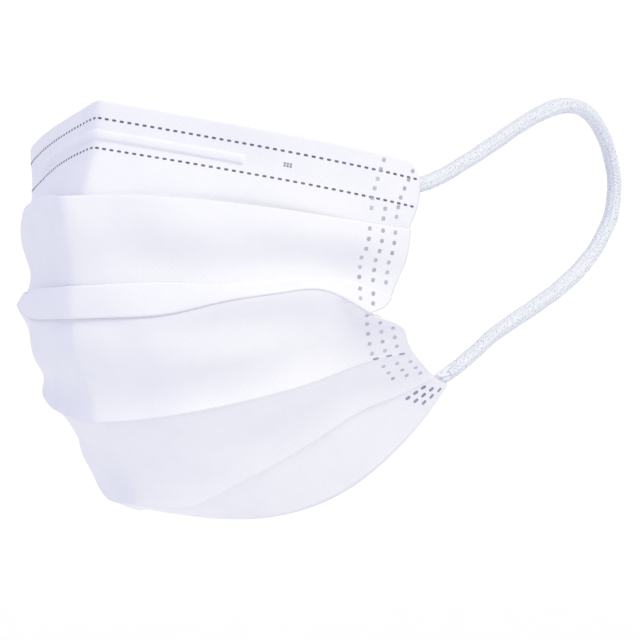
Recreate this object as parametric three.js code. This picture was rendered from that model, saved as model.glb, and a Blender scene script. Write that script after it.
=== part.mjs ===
// A disposable face mask, opened out as it is when worn: a pleated cloth body with a hemmed top
// edge, a nose wire inside the hem, two ear loops and the flattened loop ends welded to the corners.
// Millimetres, +Z up. The mask faces -Y, and the origin is the nose bridge on the top edge.

import * as THREE from 'three';
import { mergeVertices } from 'three/addons/utils/BufferGeometryUtils.js';

// Driving sizes
const BRIDGE_TO_CHIN = 105;
const HALF_SPREAD = 62;
const CHEEK_DEPTH = 50;
const CLOTH = 1.0;
const LAYER_GAP = 0.3;
const PLEAT = 8;
const CORNER_RADIUS = 5;
const WIRE_HALF_LENGTH = 38;
const WIRE_WIDTH = 3;
const WIRE_THICKNESS = 0.6;
const LOOP_DIAMETER = 3.3;
const WELD_LENGTH = 9;
const WELD_WIDTH = 4.4;
const WELD_THICKNESS = 1.2;

const LAYER_PITCH = CLOTH + LAYER_GAP;
const BACKWARD = new THREE.Vector3(0, 1, 0);

// The wire lies at this share of the way down the hem. Past each end of it the hem closes up, between
// these two shares of a row further out.
const WIRE_HEIGHT = 0.72;
const HEM_CLOSES_FROM = 0.03;
const HEM_CLOSES_BY = 0.15;
const WIRE_STEPS = 12;

// One row for each line that runs across the mask, from the top edge to the bottom edge. A row is a
// curve from the centre crease to the side edge. Shares of CHEEK_DEPTH: forward (the crease point,
// ahead of the nose bridge) and back (the side point, behind it). Shares of HALF_SPREAD: out, and
// the reaches of the curve's handles. Shares of BRIDGE_TO_CHIN, counted down: drop (the crease
// point), drop_1 and drop_2 (the two handles) and fall (the side point). Turns are in degrees from
// straight across, at the crease and at the side.
const ROW_COLUMNS = [
  'name', 'forward', 'drop', 'turn', 'reach', 'drop_1', 'drop_2',
  'side_turn', 'side_reach', 'out', 'back', 'fall',
];
const ROWS = [
  ['top_edge',     0.00, 0.000, 31, 0.52, 0.052, 0.105, 70, 0.37, 1.00, 1.00, 0.152],
  ['hem_line',     0.04, 0.112, 31, 0.52, 0.160, 0.210, 70, 0.37, 1.00, 0.98, 0.258],
  ['brow_fold',    0.28, 0.228, 28, 0.52, 0.205, 0.280, 69, 0.37, 0.99, 0.96, 0.310],
  ['nose_panel',   0.24, 0.350, 26, 0.52, 0.310, 0.360, 69, 0.37, 0.98, 0.95, 0.390],
  ['upper_fold',   0.22, 0.440, 20, 0.50, 0.425, 0.390, 66, 0.37, 0.95, 0.90, 0.470],
  ['middle_fold',  0.19, 0.515, 10, 0.46, 0.500, 0.395, 60, 0.38, 0.92, 0.77, 0.512],
  ['cheek_lobe',   0.14, 0.560,  8, 0.48, 0.555, 0.465, 58, 0.40, 0.94, 1.00, 0.560],
  ['cheek_panel',  0.04, 0.660,  2, 0.54, 0.655, 0.550, 55, 0.42, 0.94, 1.06, 0.590],
  ['lower_fold',  -0.07, 0.757,  4, 0.51, 0.748, 0.625, 52, 0.42, 0.93, 1.12, 0.612],
  ['chin_panel',  -0.20, 0.865, 10, 0.47, 0.862, 0.680, 50, 0.42, 0.92, 1.24, 0.650],
  ['chin_lower',  -0.28, 0.930, 12, 0.46, 0.935, 0.700, 50, 0.42, 0.91, 1.30, 0.665],
  ['chin_fold',   -0.33, 0.972, 26, 0.44, 0.988, 0.720, 50, 0.42, 0.91, 1.36, 0.680],
  ['bottom_edge', -0.38, 1.000, 46, 0.46, 1.055, 1.080, 40, 0.42, 0.90, 1.50, 0.705],
];

// The pleats. The return is the hidden panel behind a fold's edge: its length is a share of PLEAT,
// but no more than room, a share of the height of the panel in front of it. Open is the angle in
// degrees between that panel and the return at the centre crease. At the side edges it is closed.
const FOLD_COLUMNS = ['name', 'points_up', 'length', 'room', 'open'];
const FOLDS = [
  ['brow_fold',   true,  1.00, 0.70, 84],
  ['upper_fold',  true,  0.60, 0.24, 12],
  ['middle_fold', false, 0.60, 0.24, 12],
  ['lower_fold',  false, 1.00, 0.70, 10],
  ['chin_fold',   false, 0.90, 0.55, 8],
];
const FOLDS_CLOSED_FROM = 0.86;

// Shares of the way from the centre crease to the side edge at which the body has a section
const STATIONS = [
  0, 0.05, 0.11, 0.18, 0.25, 0.32, 0.39, 0.46, 0.53, 0.60, 0.67,
  0.74, 0.80, 0.85, 0.89, 0.925, 0.955, 0.98, 1,
];

// The ear loops' centre lines, chosen point by point from the upper corner round to the lower one
const LEFT_LOOP_ROUTE = [
  [60.2, 52.6, -21.6], [61.6, 56.2, -20.8], [62.9, 61, -19.2], [63.9, 68, -16.6], [64.8, 76, -13.4],
  [65.6, 85, -9.7], [66.4, 95, -5.7], [67.2, 105, -2.4], [67.8, 115, -1], [68, 124, -2.6],
  [68, 131.6, -7.2], [68, 137, -14.2], [68, 139.6, -22.4], [67.8, 138.6, -30.6], [67.2, 133.6, -38],
  [66.4, 125.6, -44.6], [65.4, 116, -50], [64.2, 106, -54.2], [62.8, 96.4, -58], [61, 88, -62],
  [59.2, 82, -66], [57.6, 78, -68.9], [55.6, 75.8, -71],
];
const RIGHT_LOOP_ROUTE = [
  [-60.2, 52.6, -21.6], [-61.6, 56.2, -20.8], [-62.9, 61, -20.4], [-63.9, 69, -21], [-64.8, 78, -22.4],
  [-65.6, 88, -24.4], [-66.4, 98, -26.8], [-67.2, 108, -29.6], [-67.8, 118, -33], [-68, 127.6, -37.4],
  [-68, 136, -43], [-68, 142, -50.4], [-68, 143.6, -59.4], [-67.8, 140, -67.6], [-67.3, 133, -73.6],
  [-66.6, 124, -77.2], [-65.8, 114.4, -78.8], [-65, 105, -78.8], [-63.9, 96.6, -77.2], [-62.3, 89.4, -74.2],
  [-60.2, 83.4, -70.8], [-57.7, 78.4, -69], [-55.6, 75.8, -71],
];
const LOOP_SIDES = 8;
const LOOP_STEPS = 44;

// Table helpers

function asObjects(columns, rows) {
  return rows.map((row) => Object.fromEntries(columns.map((column, i) => [column, row[i]])));
}

const rowTable = asObjects(ROW_COLUMNS, ROWS);
const foldTable = asObjects(FOLD_COLUMNS, FOLDS);
const rowNamed = Object.fromEntries(rowTable.map((row) => [row.name, row]));
const foldNamed = Object.fromEntries(foldTable.map((fold) => [fold.name, fold]));

function smoothstep(from, to, value) {
  const x = THREE.MathUtils.clamp((value - from) / (to - from), 0, 1);
  return x * x * (3 - 2 * x);
}

// Rows

function rowCurve(row) {
  const turn = THREE.MathUtils.degToRad(row.turn);
  const sideTurn = THREE.MathUtils.degToRad(row.side_turn);
  const reach = row.reach * HALF_SPREAD;
  const sideReach = row.side_reach * HALF_SPREAD;
  const crease = new THREE.Vector3(0, -row.forward * CHEEK_DEPTH, -row.drop * BRIDGE_TO_CHIN);
  const side = new THREE.Vector3(row.out * HALF_SPREAD, row.back * CHEEK_DEPTH, -row.fall * BRIDGE_TO_CHIN);
  const first = crease.clone().add(new THREE.Vector3(reach * Math.cos(turn), reach * Math.sin(turn), 0));
  first.z = -row.drop_1 * BRIDGE_TO_CHIN;
  const second = side.clone();
  second.x -= sideReach * Math.cos(sideTurn);
  second.y -= sideReach * Math.sin(sideTurn);
  second.z = -row.drop_2 * BRIDGE_TO_CHIN;
  return new THREE.CubicBezierCurve3(crease, first, second, side);
}

const curveNamed = Object.fromEntries(rowTable.map((row) => [row.name, rowCurve(row)]));

// The share of the hem line at which a length along it from the centre crease is reached
function hemShare(length) {
  const line = curveNamed.hem_line;
  return line.getUtoTmapping(length / line.getLength());
}

function cornerDrop(share) {
  const edgeSpeed = 3 * rowNamed.top_edge.side_reach * HALF_SPREAD;
  const start = 1 - CORNER_RADIUS / edgeSpeed;
  const across = THREE.MathUtils.clamp((share - start) / (1 - start), 0, 1);
  return CORNER_RADIUS * (1 - Math.sqrt(1 - across * across));
}

function rowPoint(name, share) {
  const point = curveNamed[name].getPoint(share);
  if (name === 'top_edge') {
    point.z -= cornerDrop(share);
  }
  return point;
}

function rowDirection(name, share) {
  return curveNamed[name].getTangent(share);
}

// Outward direction of the cloth where a row meets a panel that runs down from it. On the centre
// crease the two halves share it, lengthened so that layers stay as far apart as beside it.
const STEEPEST_CREASE = 0.25;

function outward(along, down, share) {
  const normal = new THREE.Vector3().crossVectors(down, along).normalize();
  if (share > 0) {
    return normal;
  }
  const flat = new THREE.Vector3(0, normal.y, normal.z);
  return flat.divideScalar(Math.max(flat.lengthSq(), STEEPEST_CREASE));
}

// The body's section at one share of the way to the side edge: the cloth's middle line, from the
// hem's lower edge up over the top edge and down through every pleat to the bottom edge.

const wireEnd = hemShare(WIRE_HALF_LENGTH);

function hemDepth(share) {
  const pastWire = smoothstep(wireEnd + HEM_CLOSES_FROM, wireEnd + HEM_CLOSES_BY, share);
  return LAYER_PITCH + (WIRE_THICKNESS + LAYER_GAP) * (1 - pastWire);
}

function hemPoints(share) {
  const top = rowPoint('top_edge', share);
  const line = rowPoint('hem_line', share);
  const down = line.clone().sub(top).normalize();
  const inward = outward(rowDirection('hem_line', share), down, share).multiplyScalar(-hemDepth(share));
  return [line.clone().add(inward), top.clone().lerp(line, 0.5).add(inward), top.clone().add(inward)];
}

function foldPoints(fold, share, neighbour) {
  const edge = rowPoint(fold.name, share);
  const panel = neighbour.clone().sub(edge);
  const alongPanel = panel.clone().normalize();
  const down = fold.points_up ? alongPanel : alongPanel.clone().negate();
  const out = outward(rowDirection(fold.name, share), down, share);
  const open = THREE.MathUtils.degToRad(fold.open) * (1 - smoothstep(0, FOLDS_CLOSED_FROM, share));
  const length = Math.min(fold.length * PLEAT, fold.room * panel.length());
  const inner = alongPanel.clone().multiplyScalar(Math.cos(open)).addScaledVector(BACKWARD, Math.sin(open));
  const deeper = out.clone().multiplyScalar(-Math.cos(open)).addScaledVector(alongPanel, -Math.sin(open));
  const turned = edge.clone().addScaledVector(out, -LAYER_PITCH);
  const innerTurned = turned.clone().addScaledVector(inner, length);
  const innerBack = innerTurned.clone().addScaledVector(deeper, LAYER_PITCH);
  const back = innerBack.clone().addScaledVector(alongPanel, -length * Math.cos(open) - CLOTH);
  const points = [edge, turned, innerTurned, innerBack, back];
  return fold.points_up ? points.reverse() : points;
}

function bodySection(share) {
  const points = hemPoints(share);
  rowTable.forEach((row, i) => {
    const fold = foldNamed[row.name];
    if (fold) {
      const neighbour = rowTable[fold.points_up ? i + 1 : i - 1];
      points.push(...foldPoints(fold, share, rowPoint(neighbour.name, share)));
    } else {
      points.push(rowPoint(row.name, share));
    }
  });
  return points;
}

// A closed sheet of even thickness about a grid of middle points, one section after another. At a
// sharp turn of a section the corner is drawn out no further than by this share.
const BLUNTEST_TURN = 0.6;

function sectionOffsets(grid, i, thickness) {
  const section = grid[i];
  const before = grid[Math.max(i - 1, 0)];
  const after = grid[Math.min(i + 1, grid.length - 1)];
  return section.map((point, j) => {
    const along = after[j].clone().sub(before[j]);
    const steps = [];
    if (j > 0) {
      steps.push(point.clone().sub(section[j - 1]));
    }
    if (j < section.length - 1) {
      steps.push(section[j + 1].clone().sub(point));
    }
    const normals = steps.map((step) => new THREE.Vector3().crossVectors(step, along).normalize());
    const mean = normals.reduce((sum, normal) => sum.add(normal), new THREE.Vector3()).normalize();
    const spread = Math.max(mean.dot(normals[0]), BLUNTEST_TURN);
    return mean.multiplyScalar(thickness / 2 / spread);
  });
}

function sheetGeometry(grid, thickness) {
  const count = grid[0].length;
  const ring = 2 * count;
  const positions = [];
  grid.forEach((section, i) => {
    const offsets = sectionOffsets(grid, i, thickness);
    const outer = section.map((point, j) => point.clone().add(offsets[j]));
    const inner = section.map((point, j) => point.clone().sub(offsets[j]));
    [...outer, ...inner.reverse()].forEach((point) => positions.push(point.x, point.y, point.z));
  });
  const faces = [];
  for (let i = 0; i < grid.length - 1; i++) {
    for (let j = 0; j < ring; j++) {
      const here = i * ring + j;
      const next = i * ring + ((j + 1) % ring);
      faces.push(here, next, here + ring, next, next + ring, here + ring);
    }
  }
  const last = (grid.length - 1) * ring;
  for (let j = 0; j < count - 1; j++) {
    const outer = j;
    const inner = ring - 1 - j;
    faces.push(outer, inner, outer + 1, inner, inner - 1, outer + 1);
    faces.push(last + outer, last + outer + 1, last + inner);
    faces.push(last + inner, last + outer + 1, last + inner - 1);
  }
  const geometry = new THREE.BufferGeometry();
  geometry.setAttribute('position', new THREE.Float32BufferAttribute(positions, 3));
  geometry.setIndex(faces);
  return geometry;
}

function mirrored(section) {
  return section.map((point) => new THREE.Vector3(-point.x, point.y, point.z));
}

function bothHalves(shares, sectionAt) {
  const half = shares.map(sectionAt);
  return [...half.slice(1).reverse().map(mirrored), ...half];
}

function maskBodyGeometry() {
  return sheetGeometry(bothHalves(STATIONS, bodySection), CLOTH);
}

// Nose wire, a flat strip in the hem's pocket

function wireSection(share) {
  const top = rowPoint('top_edge', share);
  const line = rowPoint('hem_line', share);
  const down = line.clone().sub(top).normalize();
  const out = outward(rowDirection('hem_line', share), down, share);
  const depth = CLOTH / 2 + LAYER_GAP + WIRE_THICKNESS / 2;
  const middle = top.lerp(line, WIRE_HEIGHT).addScaledVector(out, -depth);
  return [-0.5, 0.5].map((side) => middle.clone().addScaledVector(down, side * WIRE_WIDTH));
}

function noseWireGeometry() {
  const step = WIRE_HALF_LENGTH / WIRE_STEPS;
  const shares = Array.from({ length: WIRE_STEPS + 1 }, (_, i) => hemShare(i * step));
  return sheetGeometry(bothHalves(shares, wireSection), WIRE_THICKNESS);
}

// Ear loops: a round elastic cord and its two ends, flattened and welded to the inside of the cloth

function regularSection(sides, radius) {
  const corners = Array.from({ length: sides }, (_, i) => {
    const angle = (2 * Math.PI * (i + 0.5)) / sides;
    return new THREE.Vector2(radius * Math.cos(angle), radius * Math.sin(angle));
  });
  return new THREE.Shape(corners);
}

function loopGeometry(route) {
  const path = new THREE.CatmullRomCurve3(route.map((place) => new THREE.Vector3(...place)));
  const section = regularSection(LOOP_SIDES, LOOP_DIAMETER / 2);
  const tube = new THREE.ExtrudeGeometry(section, { steps: LOOP_STEPS, extrudePath: path });
  tube.deleteAttribute('normal');
  tube.deleteAttribute('uv');
  return mergeVertices(tube, 1e-4);
}

// A weld lies inside the cloth at a corner and reaches just past the side edge. Upper and lower are
// the section points whose panel carries it, height is the share of the way down that panel at which
// its middle line leaves the edge, layers counts the cloth layers between it and that panel, and lift
// is the angle in degrees by which it points above the rows. The hem's own points come first.
const TOP_POINT = hemPoints(1).length;
const WELD_COLUMNS = ['corner', 'upper', 'lower', 'height', 'layers', 'lift'];
const WELDS = [
  ['top', TOP_POINT, TOP_POINT + 1, 0.16, 1, 52],
  ['bottom', -2, -1, 0.70, 0, -14],
];
const WELD_REACH = 1.6;
const WELD_INNER_SHARE = 0.91;

function panelPoint(weld, share) {
  const section = bodySection(share);
  const upper = section.at(weld.upper);
  const lower = section.at(weld.lower);
  return { place: upper.clone().lerp(lower, weld.height), down: lower.clone().sub(upper).normalize() };
}

function weldFrame(weld) {
  const edge = panelPoint(weld, 1);
  const inside = panelPoint(weld, WELD_INNER_SHARE);
  const row = edge.place.clone().sub(inside.place).normalize();
  const down = edge.down.clone().add(inside.down);
  const out = new THREE.Vector3().crossVectors(down, row).normalize();
  const along = row.applyAxisAngle(out, THREE.MathUtils.degToRad(weld.lift));
  const depth = weld.layers * LAYER_PITCH + CLOTH / 2 + LAYER_GAP + WELD_THICKNESS / 2;
  const place = edge.place.addScaledVector(along, WELD_REACH - WELD_LENGTH / 2).addScaledVector(out, -depth);
  const across = new THREE.Vector3().crossVectors(out, along);
  return new THREE.Matrix4().makeBasis(along, across, out).setPosition(place);
}

function mirroredFrame(frame) {
  const mirror = new THREE.Matrix4().makeScale(-1, 1, 1);
  return frame.clone().premultiply(mirror).multiply(mirror);
}

// Materials

function cloth(color) {
  return new THREE.MeshStandardMaterial({ color, roughness: 0.9, metalness: 0 });
}

const BODY_COLOUR = '#f4f4fb';
const LOOP_COLOUR = '#eef1fb';
const WIRE_COLOUR = '#f0f0f6';

function named(name, geometry, material) {
  const mesh = new THREE.Mesh(geometry, material);
  mesh.name = name;
  return mesh;
}

const mask = new THREE.Group();
mask.name = 'face_mask';
mask.add(named('mask_body', maskBodyGeometry(), cloth(BODY_COLOUR)));
mask.add(named('nose_wire', noseWireGeometry(), cloth(WIRE_COLOUR)));
mask.add(named('ear_loop_left', loopGeometry(LEFT_LOOP_ROUTE), cloth(LOOP_COLOUR)));
mask.add(named('ear_loop_right', loopGeometry(RIGHT_LOOP_ROUTE), cloth(LOOP_COLOUR)));
for (const weld of asObjects(WELD_COLUMNS, WELDS)) {
  const frame = weldFrame(weld);
  for (const [sideName, side] of [['left', 1], ['right', -1]]) {
    const box = new THREE.BoxGeometry(WELD_LENGTH, WELD_WIDTH, WELD_THICKNESS);
    const mesh = named(`loop_weld_${weld.corner}_${sideName}`, box, cloth(LOOP_COLOUR));
    mesh.applyMatrix4(side > 0 ? frame : mirroredFrame(frame));
    mask.add(mesh);
  }
}

export default mask;
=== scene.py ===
"""A disposable pleated face mask, opened as worn, dressed round its solid model.

The cloth, its pressed seals, the knitted ear loops, their pressed ends and the nose strip are all
shaped here in code, in metres, +Z up, with the nose bridge at the origin and the mask facing -Y.
"""

import math

import bpy
import numpy as np
from bpy.props import FloatProperty, FloatVectorProperty, PointerProperty
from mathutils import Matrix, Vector
from mathutils.bvhtree import BVHTree


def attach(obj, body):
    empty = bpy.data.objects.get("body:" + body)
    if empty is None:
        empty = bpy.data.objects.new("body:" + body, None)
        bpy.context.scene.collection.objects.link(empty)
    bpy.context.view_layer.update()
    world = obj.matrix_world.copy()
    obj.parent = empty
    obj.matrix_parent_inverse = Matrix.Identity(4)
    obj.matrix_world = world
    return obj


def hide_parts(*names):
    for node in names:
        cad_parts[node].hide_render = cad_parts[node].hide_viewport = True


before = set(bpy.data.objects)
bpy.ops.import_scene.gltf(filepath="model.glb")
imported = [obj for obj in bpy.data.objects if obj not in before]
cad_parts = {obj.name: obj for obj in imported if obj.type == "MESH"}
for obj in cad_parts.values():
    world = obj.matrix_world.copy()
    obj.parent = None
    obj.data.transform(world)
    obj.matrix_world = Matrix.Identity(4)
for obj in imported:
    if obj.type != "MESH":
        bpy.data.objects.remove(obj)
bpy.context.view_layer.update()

bl_info = {
    "name": "Pleated face mask",
    "version": (1, 0, 0),
    "blender": (4, 5, 0),
    "location": "3D View > Sidebar > Face mask",
    "description": "Builds the cloth, seals, elastic and studio of a pleated face mask",
    "category": "Object",
}

BODY = "root"

# The camera stands where the photograph was taken from. Its picture is 640 pixels wide.
CAMERA_PLACE = (0.45781, -0.53527, -0.00604)
CAMERA_AZIMUTH = 36
CAMERA_TURN = (math.radians(86), 0, math.radians(CAMERA_AZIMUTH))
CAMERA_LENS = 157.5
SENSOR_WIDTH = 36

# One row for each line that runs across the mask, from the top edge to the bottom edge: a curve
# from the centre crease to the side edge, as in the solid model. Shares of the cheek depth: forward
# (the crease point) and back (the side point). Shares of the half spread: out, and the reaches of
# the curve's handles. Shares of the height, counted down: drop (the crease point), drop_1 and drop_2
# (the handles) and fall (the side point). Turns are in degrees from straight across. Cut is how far
# the side edge is drawn in there, in metres. The lip is here only, and rounds the cloth over the notch.
ROW_COLUMNS = (
    "name", "forward", "drop", "turn", "reach", "drop_1", "drop_2",
    "side_turn", "side_reach", "out", "back", "fall", "cut",
)
ROWS = (
    ("top_edge",     0.00, 0.000, 31, 0.52, 0.052, 0.105, 70, 0.37, 1.02, 1.02, 0.152, 0),
    ("hem_line",     0.04, 0.112, 31, 0.52, 0.160, 0.210, 70, 0.37, 1.01, 1.01, 0.258, -0.0012),
    ("brow_fold",    0.28, 0.228, 28, 0.52, 0.205, 0.280, 69, 0.37, 1.00, 0.97, 0.310, 0),
    ("nose_panel",   0.24, 0.350, 26, 0.52, 0.310, 0.360, 69, 0.37, 0.98, 0.95, 0.390, -0.0013),
    ("upper_fold",   0.22, 0.440, 20, 0.50, 0.425, 0.390, 66, 0.37, 0.95, 0.90, 0.470, 0.0013),
    ("lip",          0.21, 0.478, 15, 0.48, 0.463, 0.393, 63, 0.37, 0.94, 0.862, 0.494, 0.0029),
    ("middle_fold",  0.19, 0.515, 10, 0.46, 0.500, 0.395, 60, 0.38, 0.92, 0.77, 0.512, 0.0072),
    ("cheek_lobe",   0.14, 0.560,  8, 0.48, 0.555, 0.465, 58, 0.40, 0.95, 1.01, 0.555, 0),
    ("cheek_panel",  0.04, 0.660,  2, 0.54, 0.655, 0.550, 55, 0.42, 0.94, 1.06, 0.590, 0),
    ("lower_fold",  -0.07, 0.757,  4, 0.51, 0.748, 0.625, 52, 0.42, 0.93, 1.12, 0.612, 0),
    ("chin_panel",  -0.20, 0.865, 10, 0.47, 0.862, 0.680, 50, 0.42, 0.92, 1.24, 0.650, 0),
    ("chin_lower",  -0.28, 0.930, 12, 0.46, 0.935, 0.700, 50, 0.42, 0.91, 1.30, 0.665, 0),
    ("chin_fold",   -0.33, 0.972, 26, 0.44, 0.988, 0.720, 50, 0.42, 0.91, 1.36, 0.680, 0),
    ("bottom_edge", -0.38, 1.000, 46, 0.46, 1.055, 1.080, 40, 0.42, 0.90, 1.50, 0.705, 0),
)

# The pleats, as in the solid model. Length is a share of the pleat, room a share of the height down to
# the next row, and open the angle in degrees between panel and return at the centre crease.
FOLD_COLUMNS = ("name", "points_up", "length", "room", "open")
FOLDS = (
    ("brow_fold",   True,  1.00, 0.70, 84),
    ("upper_fold",  True,  0.60, 0.48, 12),
    ("middle_fold", False, 0.60, 0.48, 12),
    ("lower_fold",  False, 1.00, 0.70, 10),
    ("chin_fold",   False, 0.90, 0.55, 8),
)
FOLDS_CLOSED_FROM = 0.86

# Where the hidden lines lie: shares of the hem's height, and of a fold's front and back layers
HEM_INSIDE = (1, 0.92, 0.6, 0.3, 0.02)
FOLD_FRONT = (0.08, 0.5, 0.92, 1)
FOLD_BACK = (0, 0.4, 0.85, 1)

# Where the folds bend away from their smooth rows: the row, the share that the bend is
# centred on, its width in shares, and how far it lifts the fold, in metres.
BEND_COLUMNS = ("row", "share", "width", "lift")
BENDS = (
    ("upper_fold",  0.44, 0.13, -0.0015),
    ("upper_fold",  0.82, 0.08,  0.0010),
    ("lip",         0.44, 0.13, -0.0007),
    ("lip",         0.30, 0.17, -0.0008),
    ("lip",         0.82, 0.12,  0.0016),
    ("middle_fold", 0.30, 0.17, -0.0016),
    ("middle_fold", 0.82, 0.14,  0.0023),
    ("lower_fold",  0.62, 0.26, -0.0012),
    ("chin_fold",   0.17, 0.10, -0.0019),
    ("chin_fold",   0.87, 0.11, -0.0020),
)

# On the centre crease the folded layers are set further apart, but no further than this allows
STEEPEST_CREASE = 0.25

# The shown panels, from one fold to the next: the rows that each passes, and into how many strips
# the cloth is divided between them. Arch is how far it stands out half way down, wave how far it
# swells above the middle and sinks below it, and flare how far its lower edge springs out, in metres.
# The hem's strips are given by their heights, as they lie closer together over the nose strip.
HEM_HEIGHTS = (
    0.03, 0.08, 0.15, 0.23, 0.30, 0.37, 0.44, 0.52, 0.58, 0.615, 0.632, 0.652, 0.72, 0.788, 0.808, 0.825,
    0.86, 0.93, 1,
)
PANEL_COLUMNS = ("rows", "strips", "arch", "wave", "flare")
PANELS = (
    (("top_edge", "hem_line", "brow_fold"), (HEM_HEIGHTS, 7), 0, 0, 0),
    (("brow_fold", "nose_panel", "upper_fold"), (8, 7), 0.0000, 0.0010, 0),
    (("upper_fold", "lip", "middle_fold"), (3, 3), 0.0004, 0, 0),
    (("middle_fold", "cheek_lobe", "cheek_panel", "lower_fold"), (4, 5, 9), 0.0002, 0.0010, 0.0031),
    (("lower_fold", "chin_panel", "chin_lower", "chin_fold"), (6, 5, 5), -0.0008, 0.0002, 0.0025),
    (("chin_fold", "bottom_edge"), (8,), 0.0004, 0, 0),
)

# Stations from the centre crease to the side edge: how many, how much they crowd towards both ends,
# and the ones added about the end of the nose strip, in lengths of its slope, which others keep away
# from. Lengths along the hem are measured in fine steps. A fold has a line of support beside its edge.
HALF_STATIONS = 39
STATION_CROWDING = 0.045
STRIP_END_STATIONS = (-1.2, -0.5, 0.5, 1.2)
STATIONS_APART = 0.006
FINE_STEPS = 600
FOLD_SUPPORT = 0.0007

# The nose strip: how far down the hem it lies, the length over which its relief ends, and the
# distances from its middle line, in strip widths, between which the relief falls off.
STRIP_HEIGHT = 0.72
STRIP_END_SLOPE = 0.0004
STRIP_EDGE = (0.40, 0.55)

# A swell is least at the centre crease and the side edge. A flare starts at a share of the panel's
# height, and fades out between two shares of the way to the side edge.
LEAST_SWELL = 0.35
SWELL_STRETCH = 1.04
SWELL_POWER = 0.7
FLARE_FROM = 0.66
FLARE_FADES = (0.55, 0.92)

# Shallow dents and swells of the cloth: the row and share where each is centred, how far it pushes
# the cloth out, and its reach along the row and down the cloth. Metres.
DENT_COLUMNS = ("row", "share", "push", "along", "down")
DENTS = (
    ("upper_fold",   0.81, -0.0016, 0.0065, 0.0060),
    ("cheek_lobe",   0.80, -0.0008, 0.0070, 0.0070),
    ("middle_fold",  0.60,  0.0008, 0.0150, 0.0050),
    ("cheek_panel",  0.45,  0.0012, 0.0200, 0.0080),
    ("cheek_panel",  0.16, -0.0009, 0.0060, 0.0090),
    ("nose_panel",   0.35,  0.0007, 0.0180, 0.0060),
    ("nose_panel",   0.78, -0.0006, 0.0100, 0.0070),
    ("chin_panel",   0.55, -0.0009, 0.0200, 0.0050),
    ("chin_panel",   0.22,  0.0009, 0.0080, 0.0060),
    ("chin_lower",   0.30,  0.0006, 0.0120, 0.0050),
)
DENT_DEPTH = 0.012

# The centre crease is rounded over its radius. From the mouth down it is drawn forward a little as a
# ridge, which sinks again at the chin. The pairs are heights between which each comes or goes.
CREASE_RADIUS = 0.0011
CREASE_SLOPE = 0.55
CREASE_ROUNDS = (-0.060, -0.035)
RIDGE_RADIUS = 0.0005
RIDGE_PUSH = 0.0034
RIDGE_REACH = 0.0100
RIDGE_RISES = (-0.046, -0.064)
RIDGE_SINKS = (-0.080, -0.106)
RIDGE_SINKS_BY = 0.9

# The right half hangs lower than the left one, by a share of the way out, most at the height of the
# mouth and not at the chin. This and the spread below fade out between two distances back.
SAG = 0.060
SAG_AT_MOUTH = 0.085
MOUTH_HEIGHT = -0.045
MOUTH_REACH = 0.014
SAG_ABOVE_CHIN = (-0.098, -0.064)
RIGHT_FADES = (0.020, 0.046)

# The right half is also spread wider at the hem and chin and drawn in a little between them: the
# height where that is centred, its reach up and down, and how far the cloth moves out, in metres.
SPREADS = (
    (-0.010, 0.012,  0.0024),
    (-0.036, 0.018, -0.0011),
    (-0.096, 0.012,  0.0058),
)
SPREAD_FROM_CREASE = 0.009

# Long soft waves all over the cloth: the height, the turns that it makes a metre along each axis and
# where it starts, and then the way that they all push the cloth
WAVES = (
    (0.00022, (34, 12, 21), 0.4),
    (0.00016, (-19, 27, 44), 2.1),
    (0.00010, (71, -38, 33), 4.0),
)
WAVE_PUSH = (0.35, -0.9, 0.1)

# The ear loops' centre lines, from the upper corner round to the lower one, in metres
LEFT_LOOP_ROUTE = (
    (0.0602, 0.0526, -0.0216), (0.0616, 0.0562, -0.0208), (0.0629, 0.0610, -0.0192),
    (0.0639, 0.0680, -0.0166), (0.0648, 0.0760, -0.0134), (0.0656, 0.0850, -0.0097),
    (0.0664, 0.0950, -0.0057), (0.0672, 0.1050, -0.0024), (0.0678, 0.1150, -0.0010),
    (0.0680, 0.1240, -0.0026), (0.0680, 0.1316, -0.0072), (0.0680, 0.1370, -0.0142),
    (0.0680, 0.1396, -0.0224), (0.0678, 0.1386, -0.0306), (0.0672, 0.1336, -0.0380),
    (0.0664, 0.1256, -0.0446), (0.0654, 0.1160, -0.0500), (0.0642, 0.1060, -0.0542),
    (0.0628, 0.0964, -0.0580), (0.0610, 0.0880, -0.0620), (0.0592, 0.0820, -0.0660),
    (0.0576, 0.0780, -0.0689), (0.0556, 0.0758, -0.0710),
)
RIGHT_LOOP_ROUTE = (
    (-0.0602, 0.0526, -0.0216), (-0.0616, 0.0562, -0.0208), (-0.0629, 0.0610, -0.0204),
    (-0.0639, 0.0690, -0.0210), (-0.0648, 0.0780, -0.0224), (-0.0656, 0.0880, -0.0244),
    (-0.0664, 0.0980, -0.0268), (-0.0672, 0.1080, -0.0296), (-0.0678, 0.1180, -0.0330),
    (-0.0680, 0.1276, -0.0374), (-0.0680, 0.1360, -0.0430), (-0.0680, 0.1420, -0.0504),
    (-0.0680, 0.1436, -0.0594), (-0.0678, 0.1400, -0.0676), (-0.0673, 0.1330, -0.0736),
    (-0.0666, 0.1240, -0.0772), (-0.0658, 0.1144, -0.0788), (-0.0650, 0.1050, -0.0788),
    (-0.0639, 0.0966, -0.0772), (-0.0623, 0.0894, -0.0742), (-0.0602, 0.0834, -0.0708),
    (-0.0577, 0.0784, -0.0690), (-0.0556, 0.0758, -0.0710),
)
LOOPS = (("left", LEFT_LOOP_ROUTE), ("right", RIGHT_LOOP_ROUTE))

# Each loop's length, its rings and the points round one, and the steps between two points of its route
LOOP_RINGS = 960
LOOP_SIDES = 48
ROUTE_STEPS = 24
LOOP_SEEDS = {"left": 0.7, "right": 3.9}

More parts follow.
